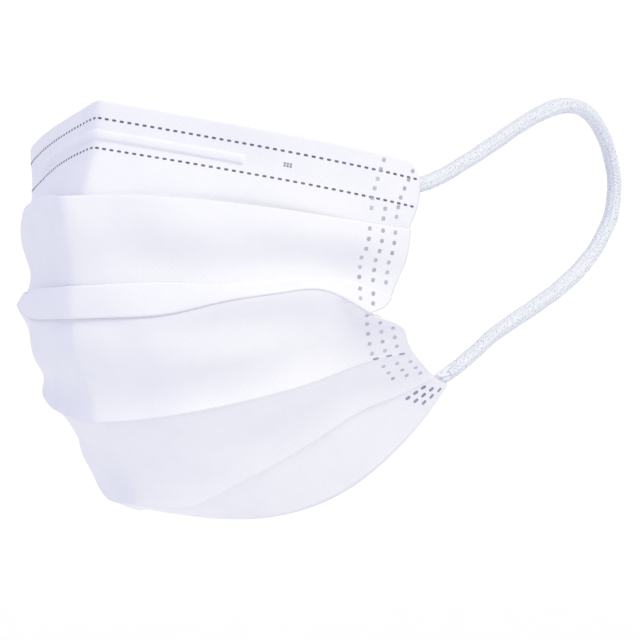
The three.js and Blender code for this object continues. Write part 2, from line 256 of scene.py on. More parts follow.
# The knit: columns round the cord, metres from one course to the next, the stitches' lean and relief,
# how far the loft stands out past the cord's own diameter, and the relief left between the columns.
KNIT_WALES = 9
KNIT_COURSE = 0.00105
KNIT_LEAN = 1.15
KNIT_RELIEF = 0.00024
KNIT_LOFT = 1.12
STITCH_LEAST = 0.30

# How uneven the knit is: how far it strays, in courses, shares of the relief or shares of the radius,
# and then the paces of its waves, mostly in radians a metre along the cord
COURSE_JITTER = (0.18, 2.4, 240)
SLUBS = (0.35, 410, 173)
SLACKS = ((0.03, 95, 1), (0.02, 231, 2))
OVALNESS = (0.05, 60)

# Stray hairs: how many, the points along each, its radius and the span of lengths. Then how much each
# leans out, along and round the cord, how it curls, is held down and thins out, and how many rings at
# the loop's ends have none.
FUZZ_HAIRS = 900
FUZZ_STEPS = 5
FUZZ_RADIUS = 0.000014
FUZZ_LENGTHS = (0.0005, 0.0013)
FUZZ_OUT = (0.25, 0.9)
FUZZ_ALONG = (-1, 1)
FUZZ_ROUND = (-0.8, 0.8)
FUZZ_CURL = 0.45
FUZZ_HELD_DOWN = 0.6
FUZZ_TAPER = 0.7
FUZZ_END_RINGS = 4
FUZZ_SEED = 7


# Sizes and colours that a user would change

def metres(name, description, default):
    return FloatProperty(name=name, description=description, default=default, unit="LENGTH")


def tint(name, description, default):
    return FloatVectorProperty(
        name=name, description=description, default=default, subtype="COLOR", min=0, max=1)


class MaskSizes(bpy.types.PropertyGroup):
    """Real sizes of the mask, the same as the solid model's where both have them."""

    bridge_to_chin: metres("Bridge to chin", "Height from the nose bridge to the bottom edge", 0.105)
    half_spread: metres("Half spread", "From the centre crease out to a side edge", 0.062)
    cheek_depth: metres("Cheek depth", "From the nose bridge back to the side edges", 0.050)
    cloth: metres("Cloth", "Thickness of the three bonded layers", 0.0003)
    layer_gap: metres("Layer gap", "Air between folded layers", 0.00006)
    pleat: metres("Pleat", "Depth of a full pleat", 0.008)
    corner_radius: metres("Corner radius", "Rounding of the top corners", 0.005)
    strip_half_length: metres("Nose strip half length", "Half the length of the strip in the hem", 0.038)
    strip_width: metres("Nose strip width", "Width of the strip in the hem", 0.0021)
    strip_thickness: metres("Nose strip thickness", "Thickness of the strip in the hem", 0.0006)
    strip_relief: metres("Nose strip relief", "How far the strip presses the cloth out", 0.0006)
    loop_diameter: metres("Ear loop diameter", "Thickness of the round elastic", 0.0033)
    dash_pitch: metres("Dash pitch", "From one hem dash to the next", 0.00195)


class MaskColours(bpy.types.PropertyGroup):
    """Colours of the mask's finishes and of the studio."""

    cloth: tint("Cloth", "White of the nonwoven cloth", (0.905, 0.905, 0.945))
    cloth_thin: tint("Thin cloth", "The cloth where its web is thinner", (0.855, 0.855, 0.915))
    hem_seal: tint("Hem seals", "The pressed dashes of the hem", (0.115, 0.105, 0.185))
    side_seal: tint("Side seals", "The pressed spots along the sides", (0.41, 0.41, 0.48))
    corner_seal: tint(
        "Corner seals", "The pressed spots over the ends of the elastic", (0.25, 0.24, 0.35))
    elastic: tint("Elastic", "The knitted ear loops", (0.90, 0.925, 0.97))
    # Painted shade: the colour the elastic is darkened to down between its stitches, where shade falls.
    # It also tints the random specks.
    elastic_gap_shade_and_specks: tint(
        "Elastic gaps", "Down between the stitches of the ear loops", (0.60, 0.63, 0.79))
    strip: tint("Nose strip", "The coated wire in the hem", (0.86, 0.86, 0.90))
    backdrop: tint("Backdrop", "Floor and backdrop of the studio", (0.80, 0.80, 0.80))


def sizes():
    return bpy.context.scene.mask_sizes


def colours():
    return bpy.context.scene.mask_colours


def opaque(colour):
    return (*colour, 1)


# Table and curve helpers

MIRROR = np.array((-1, 1, 1))
TINY = 1e-12


def as_rows(columns, table):
    return [dict(zip(columns, row)) for row in table]


ROW_NAMED = {row["name"]: row for row in as_rows(ROW_COLUMNS, ROWS)}
FOLD_NAMED = {fold["name"]: fold for fold in as_rows(FOLD_COLUMNS, FOLDS)}
PANEL_LIST = as_rows(PANEL_COLUMNS, PANELS)
DENT_LIST = as_rows(DENT_COLUMNS, DENTS)
BEND_LIST = as_rows(BEND_COLUMNS, BENDS)


def unit(vectors):
    length = np.linalg.norm(vectors, axis=-1, keepdims=True)
    return vectors / np.maximum(length, TINY)


def smoothstep(low, high, value):
    x = np.clip((value - low) / (high - low), 0, 1)
    return x * x * (3 - 2 * x)


def lengths_along(points):
    """Length from the first point to each point of a line."""
    steps = np.linalg.norm(np.diff(points, axis=0), axis=-1)
    return np.concatenate([[0], np.cumsum(steps)])


def at_lengths(points, lengths, wanted):
    """Points of a line at the wanted lengths along it."""
    return np.stack([np.interp(wanted, lengths, points[:, k]) for k in range(3)], axis=-1)


def both_halves(half):
    """A line of the left half with its mirror image before it."""
    return np.concatenate([(half[1:] * MIRROR)[::-1], half])


def squared_off(value, power):
    """A sine or cosine raised to a power, with its sign kept: a low power squares a circle off."""
    return np.copysign(np.abs(value) ** power, value)


def round_angles(count):
    return np.arange(count) * 2 * math.pi / count


def smooth_chain(knots, steps):
    """Smooth lines from the first knot to the last. Each knot is a line of points, one for each
    station, and steps has the shares at which lines are wanted between each pair of knots."""
    spans = [np.linalg.norm(b - a, axis=1, keepdims=True) for a, b in zip(knots, knots[1:])]
    slopes = [(b - a) / span for a, b, span in zip(knots, knots[1:], spans)]
    tangents = [slopes[0]]
    for i in range(1, len(knots) - 1):
        before, after = spans[i - 1], spans[i]
        tangents.append((slopes[i - 1] * after + slopes[i] * before) / (before + after))
    tangents.append(slopes[-1])
    made = [knots[0]]
    for i, shares in enumerate(steps):
        for t in shares:
            a = (1 + 2 * t) * (1 - t) ** 2
            b = t * (1 - t) ** 2
            c = t * t * (3 - 2 * t)
            d = t * t * (t - 1)
            bend = spans[i] * (b * tangents[i] + d * tangents[i + 1])
            made.append(a * knots[i] + c * knots[i + 1] + bend)
    return made


def strip_shares(strips):
    """The shares of a number of even strips, or the listed ones."""
    if isinstance(strips, int):
        return [(i + 1) / strips for i in range(strips)]
    return list(strips)


# The cloth's surface

def row_handles(row):
    s = sizes()
    turn = math.radians(row["turn"])
    side_turn = math.radians(row["side_turn"])
    reach = row["reach"] * s.half_spread
    side_reach = row["side_reach"] * s.half_spread
    crease = np.array((0, -row["forward"] * s.cheek_depth, -row["drop"] * s.bridge_to_chin))
    side = np.array((
        row["out"] * s.half_spread, row["back"] * s.cheek_depth, -row["fall"] * s.bridge_to_chin))
    first = np.array((
        reach * math.cos(turn), crease[1] + reach * math.sin(turn), -row["drop_1"] * s.bridge_to_chin))
    second = np.array((
        side[0] - side_reach * math.cos(side_turn),
        side[1] - side_reach * math.sin(side_turn),
        -row["drop_2"] * s.bridge_to_chin))
    return crease, first, second, side


def row_line(name, shares):
    """Points of a row at shares of the way from the centre crease to the side edge."""
    a, b, c, d = row_handles(ROW_NAMED[name])
    t = shares[:, None]
    line = (1 - t) ** 3 * a + 3 * (1 - t) ** 2 * t * b + 3 * (1 - t) * t * t * c + t ** 3 * d
    if name == "top_edge":
        line[:, 2] -= corner_drop(shares)
    for bend in BEND_LIST:
        if bend["row"] == name:
            line[:, 2] += bend["lift"] * np.exp(-((shares - bend["share"]) / bend["width"]) ** 2)
    return line


def row_direction(name, shares):
    a, b, c, d = row_handles(ROW_NAMED[name])
    t = shares[:, None]
    return unit((1 - t) ** 2 * (b - a) + 2 * (1 - t) * t * (c - b) + t * t * (d - c))


def corner_drop(shares):
    """How far the rounded top corner lies below the straight top edge."""
    s = sizes()
    speed = 3 * ROW_NAMED["top_edge"]["side_reach"] * s.half_spread
    start = 1 - s.corner_radius / speed
    across = np.clip((shares - start) / (1 - start), 0, 1)
    return s.corner_radius * (1 - np.sqrt(1 - across * across))


def outward(along, down, shares):
    """Outward direction of the cloth. On the centre crease it is flattened and lengthened, so that
    the layers of the two halves meet there as far apart as beside it."""
    normal = unit(np.cross(down, along))
    crease = shares <= 0
    flat = normal[crease] * (0, 1, 1)
    steep = np.maximum((flat * flat).sum(1, keepdims=True), STEEPEST_CREASE)
    normal[crease] = flat / steep
    return normal


def strip_ends_at(shares):
    """Nearness of each station to the nose strip: 1 over it, 0 past its end."""
    end = sizes().strip_half_length
    reached = lengths_along(row_line("hem_line", shares))
    return 1 - smoothstep(end - STRIP_END_SLOPE / 2, end + STRIP_END_SLOPE / 2, reached)


def hem_inside(shares):
    """The hem's folded layer, from its lower edge up to the top edge."""
    s = sizes()
    top = row_line("top_edge", shares)
    line = row_line("hem_line", shares)
    out = outward(row_direction("hem_line", shares), unit(line - top), shares)
    depth = s.cloth + s.layer_gap + (s.strip_thickness + s.layer_gap) * strip_ends_at(shares)[:, None]
    return [top + (line - top) * height - out * depth for height in HEM_INSIDE]


def fold_lines(fold, shares, neighbour):
    """The five lines of a fold, from its shown edge in to the line where the next panel starts."""
    s = sizes()
    pitch = s.cloth + s.layer_gap
    edge = row_line(fold["name"], shares)
    panel = neighbour - edge
    along = unit(panel)
    down = along if fold["points_up"] else -along
    out = outward(row_direction(fold["name"], shares), down, shares)
    closed = smoothstep(0, FOLDS_CLOSED_FROM, shares)
    angle = (math.radians(fold["open"]) * (1 - closed))[:, None]
    room = fold["room"] * np.linalg.norm(panel, axis=1, keepdims=True)
    length = np.minimum(fold["length"] * s.pleat, room)
    inner = along * np.cos(angle) + np.array((0, 1, 0)) * np.sin(angle)
    deeper = -out * np.cos(angle) - along * np.sin(angle)
    turned = edge - out * pitch
    inner_turned = turned + inner * length
    inner_back = inner_turned + deeper * pitch
    back = inner_back - along * (length * np.cos(angle) + 2 * s.cloth)
    return edge, turned, inner_turned, inner_back, back


def fold_inside(fold, shares, neighbour, front):
    """The fold's edge and the hidden lines behind it. Front is the panel that they lie behind, whose
    swells they share."""
    edge, turned, inner_turned, inner_back, back = fold_lines(fold, shares, neighbour)
    inside = [turned]
    inside += [turned + (inner_turned - turned) * share for share in FOLD_FRONT]
    inside += [inner_back + (back - inner_back) * share for share in FOLD_BACK]
    return edge, [line + panel_push(front, line, shares) for line in inside]


def panel_push(number, line, shares):
    """How far a line at some height of a panel is pushed out by the panel's arch and wave."""
    panel = PANEL_LIST[number]
    names = panel["rows"]
    first = row_line(names[0], shares)
    span = row_line(names[-1], shares) - first
    out = outward(row_direction(names[len(names) // 2], shares), unit(span), shares)
    height = np.clip(((line - first) * span).sum(1) / np.maximum((span * span).sum(1), TINY), 0, 1)
    swell = panel["arch"] * np.sin(math.pi * height) + panel["wave"] * np.sin(2 * math.pi * height)
    bow = np.sin(math.pi * np.clip(shares * SWELL_STRETCH, 0, 1)) ** SWELL_POWER
    swell *= LEAST_SWELL + (1 - LEAST_SWELL) * bow
    flare = panel["flare"] * np.clip((height - FLARE_FROM) / (1 - FLARE_FROM), 0, 1) ** 2
    flare *= 1 - smoothstep(*FLARE_FADES, shares)
    return out * (swell + flare)[:, None]


def strip_relief(lines, shares):
    """Raises the hem's outside over the nose strip. Lines are the first panel's."""
    s = sizes()
    count = len(HEM_HEIGHTS)
    hem = lines[count] - lines[0]
    height = np.linalg.norm(hem, axis=1, keepdims=True)
    over = strip_ends_at(shares)[:, None]
    out = outward(row_direction("hem_line", shares), unit(hem), shares)
    raised = []
    for share, line in zip((0, *HEM_HEIGHTS), lines):
        away = np.abs(share - STRIP_HEIGHT) * height
        on = 1 - smoothstep(*(s.strip_width * edge for edge in STRIP_EDGE), away)
        raised.append(line + out * s.strip_relief * on * over)
    return raised + lines[count + 1:]


def cloth_lines(shares):
    """Every line of the half sheet, from the hem's inner edge down to the bottom edge. Each is a dict
    with its points, and with its panel and side cut where it shows from outside."""
    found = [{"points": line} for line in hem_inside(shares)]
    start = row_line("top_edge", shares)
    for number in range(len(PANEL_LIST)):
        last, hidden, next_start = end_of_panel(number, shares)
        lines, cuts = panel_lines(number, shares, start, last)
        found += [{"points": line, "cut": cut, "panel": number} for line, cut in zip(lines, cuts)]
        found += [{"points": line} for line in hidden]
        start = next_start
    return found


def end_of_panel(number, shares):
    """The line that a panel ends on, the hidden lines after it, and the line that starts the next."""
    names = PANEL_LIST[number]["rows"]
    fold = FOLD_NAMED.get(names[-1])
    if fold is None:
        return row_line(names[-1], shares), [], None
    if fold["points_up"]:
        below = PANEL_LIST[number + 1]["rows"][1]
        edge, inside = fold_inside(fold, shares, row_line(below, shares), number + 1)
        return inside[-1], inside[-2::-1], edge
    edge, inside = fold_inside(fold, shares, row_line(names[-2], shares), number)
    return edge, inside[:-1], inside[-1]


def panel_lines(number, shares, start, last):
    """A panel's lines from start to last, and how far the side edge is drawn in at each."""
    panel = PANEL_LIST[number]
    names = panel["rows"]
    knots = [start, *(row_line(name, shares) for name in names[1:-1]), last]
    cuts = [ROW_NAMED[name]["cut"] for name in names]
    steps = [strip_shares(strips) for strips in panel["strips"]]
    lines = [line + panel_push(number, line, shares) for line in smooth_chain(knots, steps)]
    if number == 0:
        lines = strip_relief(lines, shares)
    marks = [0, *(i + share for i, between in enumerate(steps) for share in between)]
    cuts = np.interp(marks, range(len(cuts)), cuts)
    if names[0] in FOLD_NAMED and FOLD_NAMED[names[0]]["points_up"]:
        lines, cuts = with_support(lines, cuts, at_start=True)
    if names[-1] in FOLD_NAMED and not FOLD_NAMED[names[-1]]["points_up"]:
        lines, cuts = with_support(lines, cuts, at_start=False)
    return lines, cuts


def with_support(lines, cuts, at_start):
    """Adds a line just beside a fold's edge, which keeps the fold crisp once it is subdivided."""
    edge, beside = (lines[0], lines[1]) if at_start else (lines[-1], lines[-2])
    span = np.linalg.norm(beside - edge, axis=1, keepdims=True)
    support = edge + (beside - edge) * np.minimum(FOLD_SUPPORT / np.maximum(span, TINY), 0.5)
    place = 1 if at_start else len(lines) - 1
    cut = cuts[0] if at_start else cuts[-1]
    return lines[:place] + [support] + lines[place:], np.insert(cuts, place, cut)


def hem_shares(wanted):
    """Shares of the way along the hem line at the wanted lengths from the crease."""
    fine = np.linspace(0, 1, FINE_STEPS)
    return np.interp(wanted, lengths_along(row_line("hem_line", fine)), fine)


def cloth_stations():
    """Shares of the way from crease to side edge, closer together at both ends and where the nose
    strip ends."""
    even = np.linspace(0, 1, HALF_STATIONS)
    even = even - STATION_CROWDING * np.sin(2 * math.pi * even)
    end = sizes().strip_half_length
    at_end = hem_shares(end + STRIP_END_SLOPE * np.array(STRIP_END_STATIONS))
    apart = np.abs(even[:, None] - at_end).min(1) > STATIONS_APART
    return np.sort(np.concatenate([even[apart], at_end]))


def soft_shape(points):
    """Moves points as the cloth's dents and waves do. Every layer and seal moves alike."""
    points = points.reshape(-1, 3)
    moved = points.copy()
    for side in (1, -1):
        for dent in DENT_LIST:
            share = np.array([dent["share"]])
            centre = row_line(dent["row"], share)[0] * (side, 1, 1)
            along = row_direction(dent["row"], share)[0] * (side, 1, 1)
            out = unit(np.cross((0, 0, -1), along) * side)
            down = unit(np.cross(along, out))
            away = points - centre
            weight = np.exp(
                -((away @ along) / dent["along"]) ** 2
                - ((away @ down) / dent["down"]) ** 2
                - ((away @ out) / DENT_DEPTH) ** 2)
            moved += out * dent["push"] * weight[:, None]
    for height, turns, start in WAVES:
        phase = points @ np.array(turns) * 2 * math.pi + start
        push = height * np.sin(phase)[:, None]
        moved += push * np.array(WAVE_PUSH)
    moved[:, 1] += crease_round(points) - ridge_push(points)
    moved[:, 2] -= right_sag(points)
    moved[:, 0] -= right_spread(points)
    return moved


def crease_round(points):
    """Distance by which the crease's rounding sets the cloth back, upper half only."""
    away = np.abs(points[:, 0])
    upper = smoothstep(*CREASE_ROUNDS, points[:, 2])
    return (np.sqrt(away ** 2 + CREASE_RADIUS ** 2) - away) * CREASE_SLOPE * upper


def ridge_push(points):
    """Distance by which the lower half's ridge stands forward."""
    x, z = points[:, 0], points[:, 2]
    away = np.sqrt(x ** 2 + RIDGE_RADIUS ** 2)
    lower = smoothstep(*RIDGE_RISES, z) * (1 - RIDGE_SINKS_BY * smoothstep(*RIDGE_SINKS, z))
    return RIDGE_PUSH * np.exp(-away / RIDGE_REACH) * lower


def right_sag(points):
    """Distance by which the right half hangs below the left one."""
    x, y, z = points.T
    at_mouth = np.exp(-((z - MOUTH_HEIGHT) / MOUTH_REACH) ** 2)
    slope = (SAG + SAG_AT_MOUTH * at_mouth) * smoothstep(*SAG_ABOVE_CHIN, z)
    return np.maximum(-x, 0) * slope * (1 - smoothstep(*RIGHT_FADES, y))


def right_spread(points):
    """Distance by which the right half is spread out to its own side."""
    x, y, z = points.T
    spread = sum(push * np.exp(-((z - height) / reach) ** 2) for height, reach, push in SPREADS)
    away = 1 - np.exp(-np.maximum(-x, 0) / SPREAD_FROM_CREASE)
    return spread * away * (1 - smoothstep(*RIGHT_FADES, y))


def whole_sheet():
    """The sheet's grid of middle points, both halves, with each line's facts and its lengths."""
    lines = cloth_lines(cloth_stations())
    for line in lines:
        line["lengths"] = lengths_along(line["points"])
    grid = np.array([both_halves(line["points"]) for line in lines])
    return lines, soft_shape(grid).reshape(grid.shape)


# Mesh helpers

def new_object(name, points, faces, material):
    mesh = bpy.data.meshes.new(name)
    mesh.from_pydata([tuple(p) for p in points], [], [tuple(f) for f in faces])
    mesh.validate()
    for polygon in mesh.polygons:
        polygon.use_smooth = True
    mesh.materials.append(material)
    made = bpy.data.objects.new(name, mesh)
    bpy.context.scene.collection.objects.link(made)
    return made


def grid_faces(rows, columns, closed_rows=False):
    """Quads of a grid of points, row by row. With closed_rows each row's last point joins its first."""
    width = columns if closed_rows else columns - 1
    i, j = np.meshgrid(np.arange(rows - 1), np.arange(width), indexing="ij")
    right = (j + 1) % columns
    here = i * columns + j
    beside = i * columns + right
    return np.stack([here, here + columns, beside + columns, beside], axis=-1).reshape(-1, 4)


def tube_faces(rings, sides, flipped=False):
    """Faces of a tube of rings, with one face to close each end."""
    faces = grid_faces(rings, sides, closed_rows=True).tolist()
    faces.append(list(reversed(range(sides))))
    faces.append([(rings - 1) * sides + i for i in range(sides)])
    return [face[::-1] for face in faces] if flipped else faces


def set_yarn_uv(made, courses, wales):
    """A UV map for a flipped tube, in courses along it and wales round it."""
    places = np.stack(np.meshgrid(courses, wales, indexing="ij"), axis=-1)
    here, below = places[:-1], places[1:]
    quads = np.stack([here[:, 1:], below[:, 1:], below[:, :-1], here[:, :-1]], axis=2).reshape(-1, 2)
    layer = made.data.uv_layers.new(name="Yarn")
    flat = np.zeros((len(made.data.loops), 2), np.float32)
    flat[: len(quads)] = quads
    layer.uv.foreach_set("vector", flat.ravel())


def set_uv(made, name, places):
    """A UV map in metres of cloth, from one place for each vertex."""
    layer = made.data.uv_layers.new(name=name)
    corner = np.zeros(len(made.data.loops), np.int32)
    made.data.loops.foreach_get("vertex_index", corner)
    layer.uv.foreach_set("vector", np.asarray(places, np.float32)[corner].ravel())


def finish_piece(made, slot, *nodes):
    """The piece rides on the body and stands for the named nodes. Slot is not used."""
    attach(made, BODY)
    if nodes:
        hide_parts(*nodes)
    return made


def surface_of(made):
    """A tree of the piece's final surface, modifiers included."""
    bpy.context.view_layer.update()
    return BVHTree.FromObject(made, bpy.context.evaluated_depsgraph_get())


# Shader groups and materials

class NodeTree:
    """Adds nodes to a material or a group and links them by socket name."""

    def __init__(self, tree):
        self.tree = tree

    def give(self, node, values):
        """Links or sets the node's inputs."""
        for name, value in values.items():
            if isinstance(value, bpy.types.NodeSocket):
                self.tree.links.new(value, node.inputs[name])
            else:
                node.inputs[name].default_value = value

    def add(self, kind, values=None, **settings):
        node = self.tree.nodes.new(kind)
        for name, value in settings.items():
            setattr(node, name, value)
        self.give(node, values or {})
        return node

    def group(self, name, values):
        """A shared group's outputs."""
        return self.add("ShaderNodeGroup", values, node_tree=shared_group(name)).outputs

    def math(self, operation, a, b=0.0, clamp=False):
        node = self.add("ShaderNodeMath", {0: a, 1: b}, operation=operation, use_clamp=clamp)
        return node.outputs[0]

    def noise(self, place, scale, **values):
        node = self.add("ShaderNodeTexNoise", {"Vector": place, "Scale": scale, **values})
        return node.outputs["Fac"]

    def span(self, value, low, high, to_low=0.0, to_high=1.0, kind="LINEAR"):
        """A value carried from one span to another, held at its ends."""
        node = self.add(
            "ShaderNodeMapRange",
            {"Value": value, "From Min": low, "From Max": high, "To Min": to_low, "To Max": to_high},
            interpolation_type=kind)
        return node.outputs[0]

    def between(self, share, low, high):
        """A colour that goes from low to high as share goes from 0 to 1."""
        node = self.add("ShaderNodeMix", {0: share, 6: opaque(low), 7: opaque(high)}, data_type="RGBA")
        return node.outputs[2]


FIBRES_PER_METRE = 900
FIBRE_RUNS = ((24, 11), (-38, 14), (83, 9))


def bonded_web(nodes, given):
    """Spunbond web: a diamond pattern of pressed points over crossing fibres, with a cloudy density."""
    turned = nodes.add(
        "ShaderNodeVectorRotate",
        {"Vector": given["Place"], "Angle": math.radians(45)}, rotation_type="Z_AXIS")
    points = nodes.add(
        "ShaderNodeTexVoronoi",
        {"Vector": turned.outputs[0], "Scale": given["Points per metre"], "Randomness": 0.0},
        voronoi_dimensions="2D", feature="F1")
    spot = nodes.span(points.outputs["Distance"], 0.20, 0.34, 1.0, 0.0, "SMOOTHSTEP")
    crossed = 0.0
    for angle, stretch in FIBRE_RUNS:
        mapped = nodes.add(
            "ShaderNodeMapping",
            {"Vector": given["Place"], "Rotation": (0, 0, math.radians(angle)),
             "Scale": (FIBRES_PER_METRE, FIBRES_PER_METRE * stretch, FIBRES_PER_METRE)})
        crossed = nodes.math("MAXIMUM", crossed, nodes.noise(mapped.outputs[0], 1.0, Detail=1.0))
    cloud = nodes.noise(given["Place"], 160.0, Detail=3.0, Roughness=0.6)
    pressed = nodes.math("MULTIPLY", spot, given["Point depth"])
    raised = nodes.math("MULTIPLY", crossed, given["Fibre depth"])
    return nodes.math("SUBTRACT", raised, pressed), spot, cloud


def streaks(nodes, given):
    """Fine streaks drawn out along the first direction, and a slow blotchy shade."""
    fine = given["Streaks per metre"]
    along = nodes.math("MULTIPLY", fine, given["Stretch"])
    spread = nodes.add("ShaderNodeCombineXYZ", {"X": along, "Y": fine, "Z": fine})
    scaled = nodes.add(
        "ShaderNodeVectorMath", {0: given["Place"], 1: spread.outputs[0]}, operation="MULTIPLY")
    height = nodes.noise(scaled.outputs[0], 1.0, Detail=2.0, Distortion=0.4)
    return height, nodes.noise(given["Place"], nodes.math("MULTIPLY", fine, 0.12), Detail=2.0)


def knit(nodes, given):
    """Leaning stitches in columns. Place counts courses along and wales round the elastic."""
    place = nodes.add("ShaderNodeSeparateXYZ", {0: given["Place"]})
    column = nodes.math("FLOOR", place.outputs["Y"])
    within = nodes.math("SUBTRACT", nodes.math("SUBTRACT", place.outputs["Y"], column), 0.5)
    lean = nodes.math("MULTIPLY", nodes.math("ABSOLUTE", within), given["Lean"])
    wander = nodes.math("MULTIPLY", nodes.noise(given["Place"], 0.9, Detail=1.0), given["Unevenness"])
    phase = nodes.math("SUBTRACT", place.outputs["X"], lean)
    phase = nodes.math("ADD", phase, nodes.math("MULTIPLY", column, 0.5))
    phase = nodes.math("MULTIPLY", nodes.math("ADD", phase, wander), 2 * math.pi)
    stitch = nodes.math("MULTIPLY", nodes.math("ADD", nodes.math("COSINE", phase), 1.0), 0.5)
    across = nodes.math("COSINE", nodes.math("MULTIPLY", within, math.pi))
    across = nodes.math("ADD", nodes.math("MULTIPLY", nodes.math("MULTIPLY", across, across), 0.7), 0.3)
    height = nodes.math("MULTIPLY", stitch, across)
    # Painted shade mask: 1 where the knit sinks between its stitches, 0 on their tops
    gap_shade = nodes.span(height, 0.02, 0.42, 1.0, 0.0, "SMOOTHSTEP")
    specks = nodes.noise(given["Place"], 2.3, Detail=3.0)
    return height, gap_shade, nodes.span(specks, 0.47, 0.62, kind="SMOOTHSTEP")


# The shared shader groups: what fills each, its inputs besides Place, and what it puts out
GROUPS = {
    "Bonded web": (
        bonded_web,
        (("Points per metre", 900.0), ("Point depth", 0.6), ("Fibre depth", 0.4)),
        ("Height", "Points", "Cloud")),
    "Streaks": (
        streaks,
        (("Streaks per metre", 9000.0), ("Stretch", 0.18)),
        ("Height", "Shade")),
    "Knit": (
        knit,
        (("Lean", KNIT_LEAN), ("Unevenness", 0.9)),
        ("Height", "Gap shade", "Specks")),
}


def shared_group(name):
    """The shader group of that name, made the first time that it is wanted."""
    if name in bpy.data.node_groups:
        return bpy.data.node_groups[name]
    fill, given, put_out = GROUPS[name]
    group = bpy.data.node_groups.new(name, "ShaderNodeTree")
    group.interface.new_socket("Place", in_out="INPUT", socket_type="NodeSocketVector")
    for label, default in given:
        socket = group.interface.new_socket(label, in_out="INPUT", socket_type="NodeSocketFloat")
        socket.default_value = default
    for label in put_out:
        group.interface.new_socket(label, in_out="OUTPUT", socket_type="NodeSocketFloat")
    nodes = NodeTree(group)
    start = nodes.add("NodeGroupInput")
    end = nodes.add("NodeGroupOutput")
    nodes.give(end, dict(zip(put_out, fill(nodes, start.outputs))))
    return group


def new_material(name):
    """An empty node material with its Principled shader and a tree to add to."""
    material = bpy.data.materials.new(name)
    material.use_nodes = True
    nodes = NodeTree(material.node_tree)
    return material, nodes, material.node_tree.nodes["Principled BSDF"]


def bump(nodes, height, strength, distance):
    node = nodes.add("ShaderNodeBump", {"Height": height, "Strength": strength, "Distance": distance})
    return node.outputs[0]


def cloth_material():
    """Matt white spunbond: pressed points, crossing fibres and a faint cloudy web."""
    material, nodes, shader = new_material("nonwoven cloth")
    flat = nodes.add("ShaderNodeUVMap", uv_map="Cloth")
    web = nodes.group("Bonded web", {"Place": flat.outputs[0]})
    cloud = nodes.math("MULTIPLY", nodes.span(web["Cloud"], 0.35, 0.65), 0.3)
    share = nodes.math("ADD", cloud, nodes.math("MULTIPLY", web["Points"], 0.15), clamp=True)
    nodes.give(shader, {
        "Base Color": nodes.between(share, colours().cloth, colours().cloth_thin),
        "Roughness": nodes.span(web["Points"], 0, 1, 0.92, 0.62),
        "Sheen Weight": 0.12,
        "Sheen Roughness": 0.5,
        "Specular IOR Level": 0.25,
        "Normal": bump(nodes, web["Height"], 0.35, 0.00006),
    })
    return material


def seal_material(name, colour):
    """Film pressed glassy by heat, darker than the web round it."""
    material, nodes, shader = new_material(name)
    place = nodes.add("ShaderNodeTexCoord").outputs["Object"]
    web = nodes.group("Bonded web", {"Place": place, "Points per metre": 3600.0, "Fibre depth": 0.8})
    light = tuple(min(1, channel * 1.45 + 0.02) for channel in colour)
    nodes.give(shader, {
        "Base Color": nodes.between(nodes.span(web["Cloud"], 0.35, 0.65), colour, light),
        "Roughness": nodes.span(web["Cloud"], 0.3, 0.7, 0.38, 0.6),
        "Normal": bump(nodes, web["Height"], 0.3, 0.00003),
    })
    return material


def elastic_material(name, relief, roughness):
    """Knitted yarn, with violet shade painted down between its stitches and faint random specks. The
    pressed ends have less relief and shine.
    """
    material, nodes, shader = new_material(name)
    place = nodes.add("ShaderNodeUVMap", uv_map="Yarn").outputs[0]
    knitted = nodes.group("Knit", {"Place": place})
    yarn = nodes.group("Streaks", {"Place": place, "Streaks per metre": 16.0, "Stretch": 0.35})
    # Painted shade: the yarn is darkened towards the gap shade colour down between its stitches, broken
    # up by random specks, which also tint it faintly all over
    shade = nodes.math("MULTIPLY", knitted["Gap shade"], knitted["Specks"])
    shade = nodes.math("ADD", shade, nodes.math("MULTIPLY", knitted["Specks"], 0.16), clamp=True)
    loft = nodes.math("MULTIPLY", yarn["Height"], 0.5)
    nodes.give(shader, {
        "Base Color": nodes.between(shade, colours().elastic, colours().elastic_gap_shade_and_specks),
        "Roughness": nodes.span(yarn["Height"], 0.3, 0.7, roughness, roughness - 0.2),
        "Sheen Weight": 0.2,
        "Sheen Roughness": 0.4,
        "Specular IOR Level": 0.3,
        "Normal": bump(nodes, nodes.math("ADD", knitted["Height"], loft), relief, 0.0002),
    })
    return material


def strip_material():
    """White plastic coat of the nose wire, faintly streaked along its length."""
    material, nodes, shader = new_material("coated nose wire")
    place = nodes.add("ShaderNodeTexCoord").outputs["Object"]
    yarn = nodes.group("Streaks", {"Place": place, "Streaks per metre": 2500.0, "Stretch": 0.05})
    low = tuple(channel * 0.92 for channel in colours().strip)
    nodes.give(shader, {
        "Base Color": nodes.between(nodes.span(yarn["Shade"], 0.3, 0.7), low, colours().strip),
        "Roughness": nodes.span(yarn["Height"], 0.3, 0.7, 0.35, 0.5),
        "Normal": bump(nodes, yarn["Height"], 0.2, 0.00004),
    })
    return material


def backdrop_material():
    """Plain white studio paper that glows a little, so that it stays white behind the mask."""
    material, nodes, shader = new_material("studio paper")
    place = nodes.add("ShaderNodeTexCoord").outputs["Object"]
    share = nodes.span(nodes.noise(place, 60.0), 0.3, 0.7)
    low = tuple(channel * 0.99 for channel in colours().backdrop)
    nodes.give(shader, {
        "Base Color": nodes.between(share, low, colours().backdrop),
        "Roughness": 0.9,
        "Emission Color": (1, 1, 1, 1),
        "Emission Strength": PAPER_GLOW,
    })
    return material


# Studio

# The paper: the floor's height, and how far it runs before and behind the mask, in metres
FLOOR_HEIGHT = -0.21
FLOOR_FRONT = -1.4
FLOOR_BACK = 1.3
BACKDROP_BEND = 0.5
BACKDROP_STEPS = 16
BACKDROP_HEIGHT = 1.9
BACKDROP_HALF_WIDTH = 2.6

